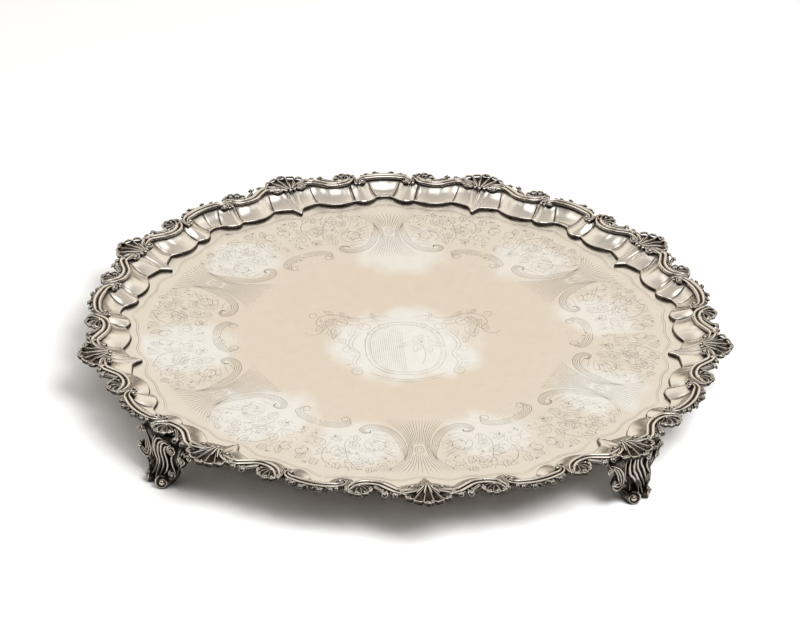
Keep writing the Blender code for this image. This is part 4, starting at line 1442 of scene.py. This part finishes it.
def build_feet():
    # occlusion darkening with strong painted shade on downward faces
    v, f, c = occlude(foot_template(), reach=0.010, gain=3.0, keep=0.9, under=0.9)
    v = v.copy()
    v[:, 2] = np.clip(v[:, 2], 0.0, FOOT_TOP)
    for i, a in enumerate(FEET):
        w = np.empty_like(v)
        ca, sa = math.cos(a * D2R), math.sin(a * D2R)
        r = SOLE_R * U + v[:, 1]
        w[:, 0] = ca * r - sa * v[:, 0] + AXIS[0]
        w[:, 1] = sa * r + ca * v[:, 0] + AXIS[1]
        w[:, 2] = v[:, 2]
        piece(f"scroll_foot_{i + 1}", w, f, c, FOOT_MAT, [f"foot_{i + 1}"], "cast_silver_feet")


build_feet()

# ------------------------------------------------------------------ stage, light, camera
def stage():
    mesh = bpy.data.meshes.new("studio_floor")
    s = 6.0
    mesh.from_pydata([(-s, -s, 0), (s, -s, 0), (s, s, 0), (-s, s, 0)], [], [(0, 1, 2, 3)])
    o = bpy.data.objects.new("studio_floor", mesh)
    bpy.context.scene.collection.objects.link(o)
    m = bpy.data.materials.new("studio_floor")
    m.use_nodes = True
    p = m.node_tree.nodes["Principled BSDF"]
    p.inputs["Base Color"].default_value = (0.90, 0.91, 0.93, 1)
    p.inputs["Roughness"].default_value = 0.75
    p.inputs["Specular IOR Level"].default_value = 0.2
    mesh.materials.append(m)


stage()


def light(name, where, aim, size, power, colour=(1, 1, 1), size_y=None):
    d = bpy.data.lights.new(name, "AREA")
    d.shape = "RECTANGLE"
    d.size, d.size_y = size, size_y or size
    d.energy = power
    d.color = colour
    o = bpy.data.objects.new(name, d)
    bpy.context.scene.collection.objects.link(o)
    o.location = where
    o.rotation_mode = "QUATERNION"
    o.rotation_quaternion = (Vector(aim) - Vector(where)).to_track_quat("-Z", "Y")
    return o


def world():
    """A studio seen as a dome: warm wall behind, dark room in front, white ceiling."""
    w = bpy.data.worlds.new("studio")
    bpy.context.scene.world = w
    w.use_nodes = True
    nt = w.node_tree
    nt.nodes.clear()
    N, L = nt.nodes.new, nt.links.new
    out = N("ShaderNodeOutputWorld")
    bg = N("ShaderNodeBackground")
    L(bg.outputs[0], out.inputs[0])
    co = N("ShaderNodeTexCoord")
    sep = N("ShaderNodeSeparateXYZ")
    L(co.outputs["Generated"], sep.inputs[0])

    def ramp(stops, source):
        r = N("ShaderNodeValToRGB")
        L(source, r.inputs[0])
        e = r.color_ramp.elements
        r.color_ramp.interpolation = "EASE"
        e[0].position, e[0].color = stops[0][0], (*stops[0][1], 1)
        e[1].position, e[1].color = stops[-1][0], (*stops[-1][1], 1)
        for pos, col in stops[1:-1]:
            e.new(pos).color = (*col, 1)
        return r.outputs[0]

    def band(source, lo, hi):
        m = N("ShaderNodeMapRange")
        m.interpolation_type = "SMOOTHSTEP"
        m.inputs[1].default_value, m.inputs[2].default_value = lo, hi
        L(source, m.inputs[0])
        return m.outputs[0]

    def mix(fac, a, b):
        m = N("ShaderNodeMix")
        m.data_type = "RGBA"
        L(fac, m.inputs[0])
        L(a, m.inputs[6])
        L(b, m.inputs[7])
        return m.outputs[2]
    back = ramp(WALL, sep.outputs["Z"])
    front = ramp(ROOM, sep.outputs["Z"])
    facing = band(sep.outputs["Y"], FRONT_EDGE[0], FRONT_EDGE[1])
    colour = mix(facing, front, back)
    for aim, inner, outer, tint in PATCH_LIGHTS:
        d = N("ShaderNodeVectorMath")
        d.operation = "DOT_PRODUCT"
        d.inputs[1].default_value = Vector(aim).normalized()
        L(co.outputs["Generated"], d.inputs[0])
        glow = N("ShaderNodeRGB")
        glow.outputs[0].default_value = (*tint, 1)
        colour = mix(band(d.outputs["Value"], math.cos(outer * D2R), math.cos(inner * D2R)), colour, glow.outputs[0])
    L(colour, bg.inputs[0])
    bg.inputs[1].default_value = 1.0


WALL = ((0.0, (0.10, 0.085, 0.070)), (0.24, (0.26, 0.22, 0.18)), (0.40, (0.88, 0.79, 0.67)), (0.55, (0.955, 0.895, 0.80)), (0.70, (0.84, 0.785, 0.705)), (0.84, (0.58, 0.53, 0.475)), (1.0, (0.44, 0.41, 0.37)))
ROOM = ((0.0, (0.010, 0.008, 0.006)), (0.40, (0.020, 0.016, 0.012)), (0.66, (0.050, 0.040, 0.032)), (0.85, (0.16, 0.135, 0.11)), (1.0, (0.32, 0.29, 0.26)))
FRONT_EDGE = (-0.22, 0.35)
PATCH_LIGHTS = (((0.10, -0.34, 0.94), 2, 29, (2.5, 2.48, 2.42)), ((-0.66, 0.05, 0.75), 3, 22, (1.5, 1.46, 1.38)), ((0.70, 0.10, 0.71), 3, 20, (1.35, 1.32, 1.27)))
world()
key = light("softbox_key", (0.80, -0.90, 1.80), (0, 0, 0.0), 1.12, 42.0, (1.0, 0.995, 0.985))
fill = light("softbox_fill", (-0.5, -0.5, 2.1), (0, 0, 0.0), 1.4, 2.5, (1.0, 0.99, 0.98))
for o in (key, fill):
    o.visible_glossy = False

cam_data = bpy.data.cameras.new("camera")
cam_data.sensor_fit = "HORIZONTAL"
cam_data.sensor_width = 36.0
cam_data.lens = 147.585
cam_data.clip_start, cam_data.clip_end = 0.1, 50
cam = bpy.data.objects.new("camera", cam_data)
bpy.context.scene.collection.objects.link(cam)
X = Vector((0.9971505174999659, -0.07060577048569477, 0.026564461667258968))
Y = Vector((0.012771289211596665, 0.5050554158033586, 0.8629924224114428))
Z = Vector((-0.07434877014062596, -0.8601940781834165, 0.5045179959493599))
m = Matrix(((X[0], Y[0], Z[0], -0.21017714138411392), (X[1], Y[1], Z[1], -2.3855600386488596), (X[2], Y[2], Z[2], 1.458125604244068), (0, 0, 0, 1)))
cam.matrix_world = m
bpy.context.scene.camera = cam
bpy.context.scene.view_settings.view_transform = "Standard"
bpy.context.view_layer.update()
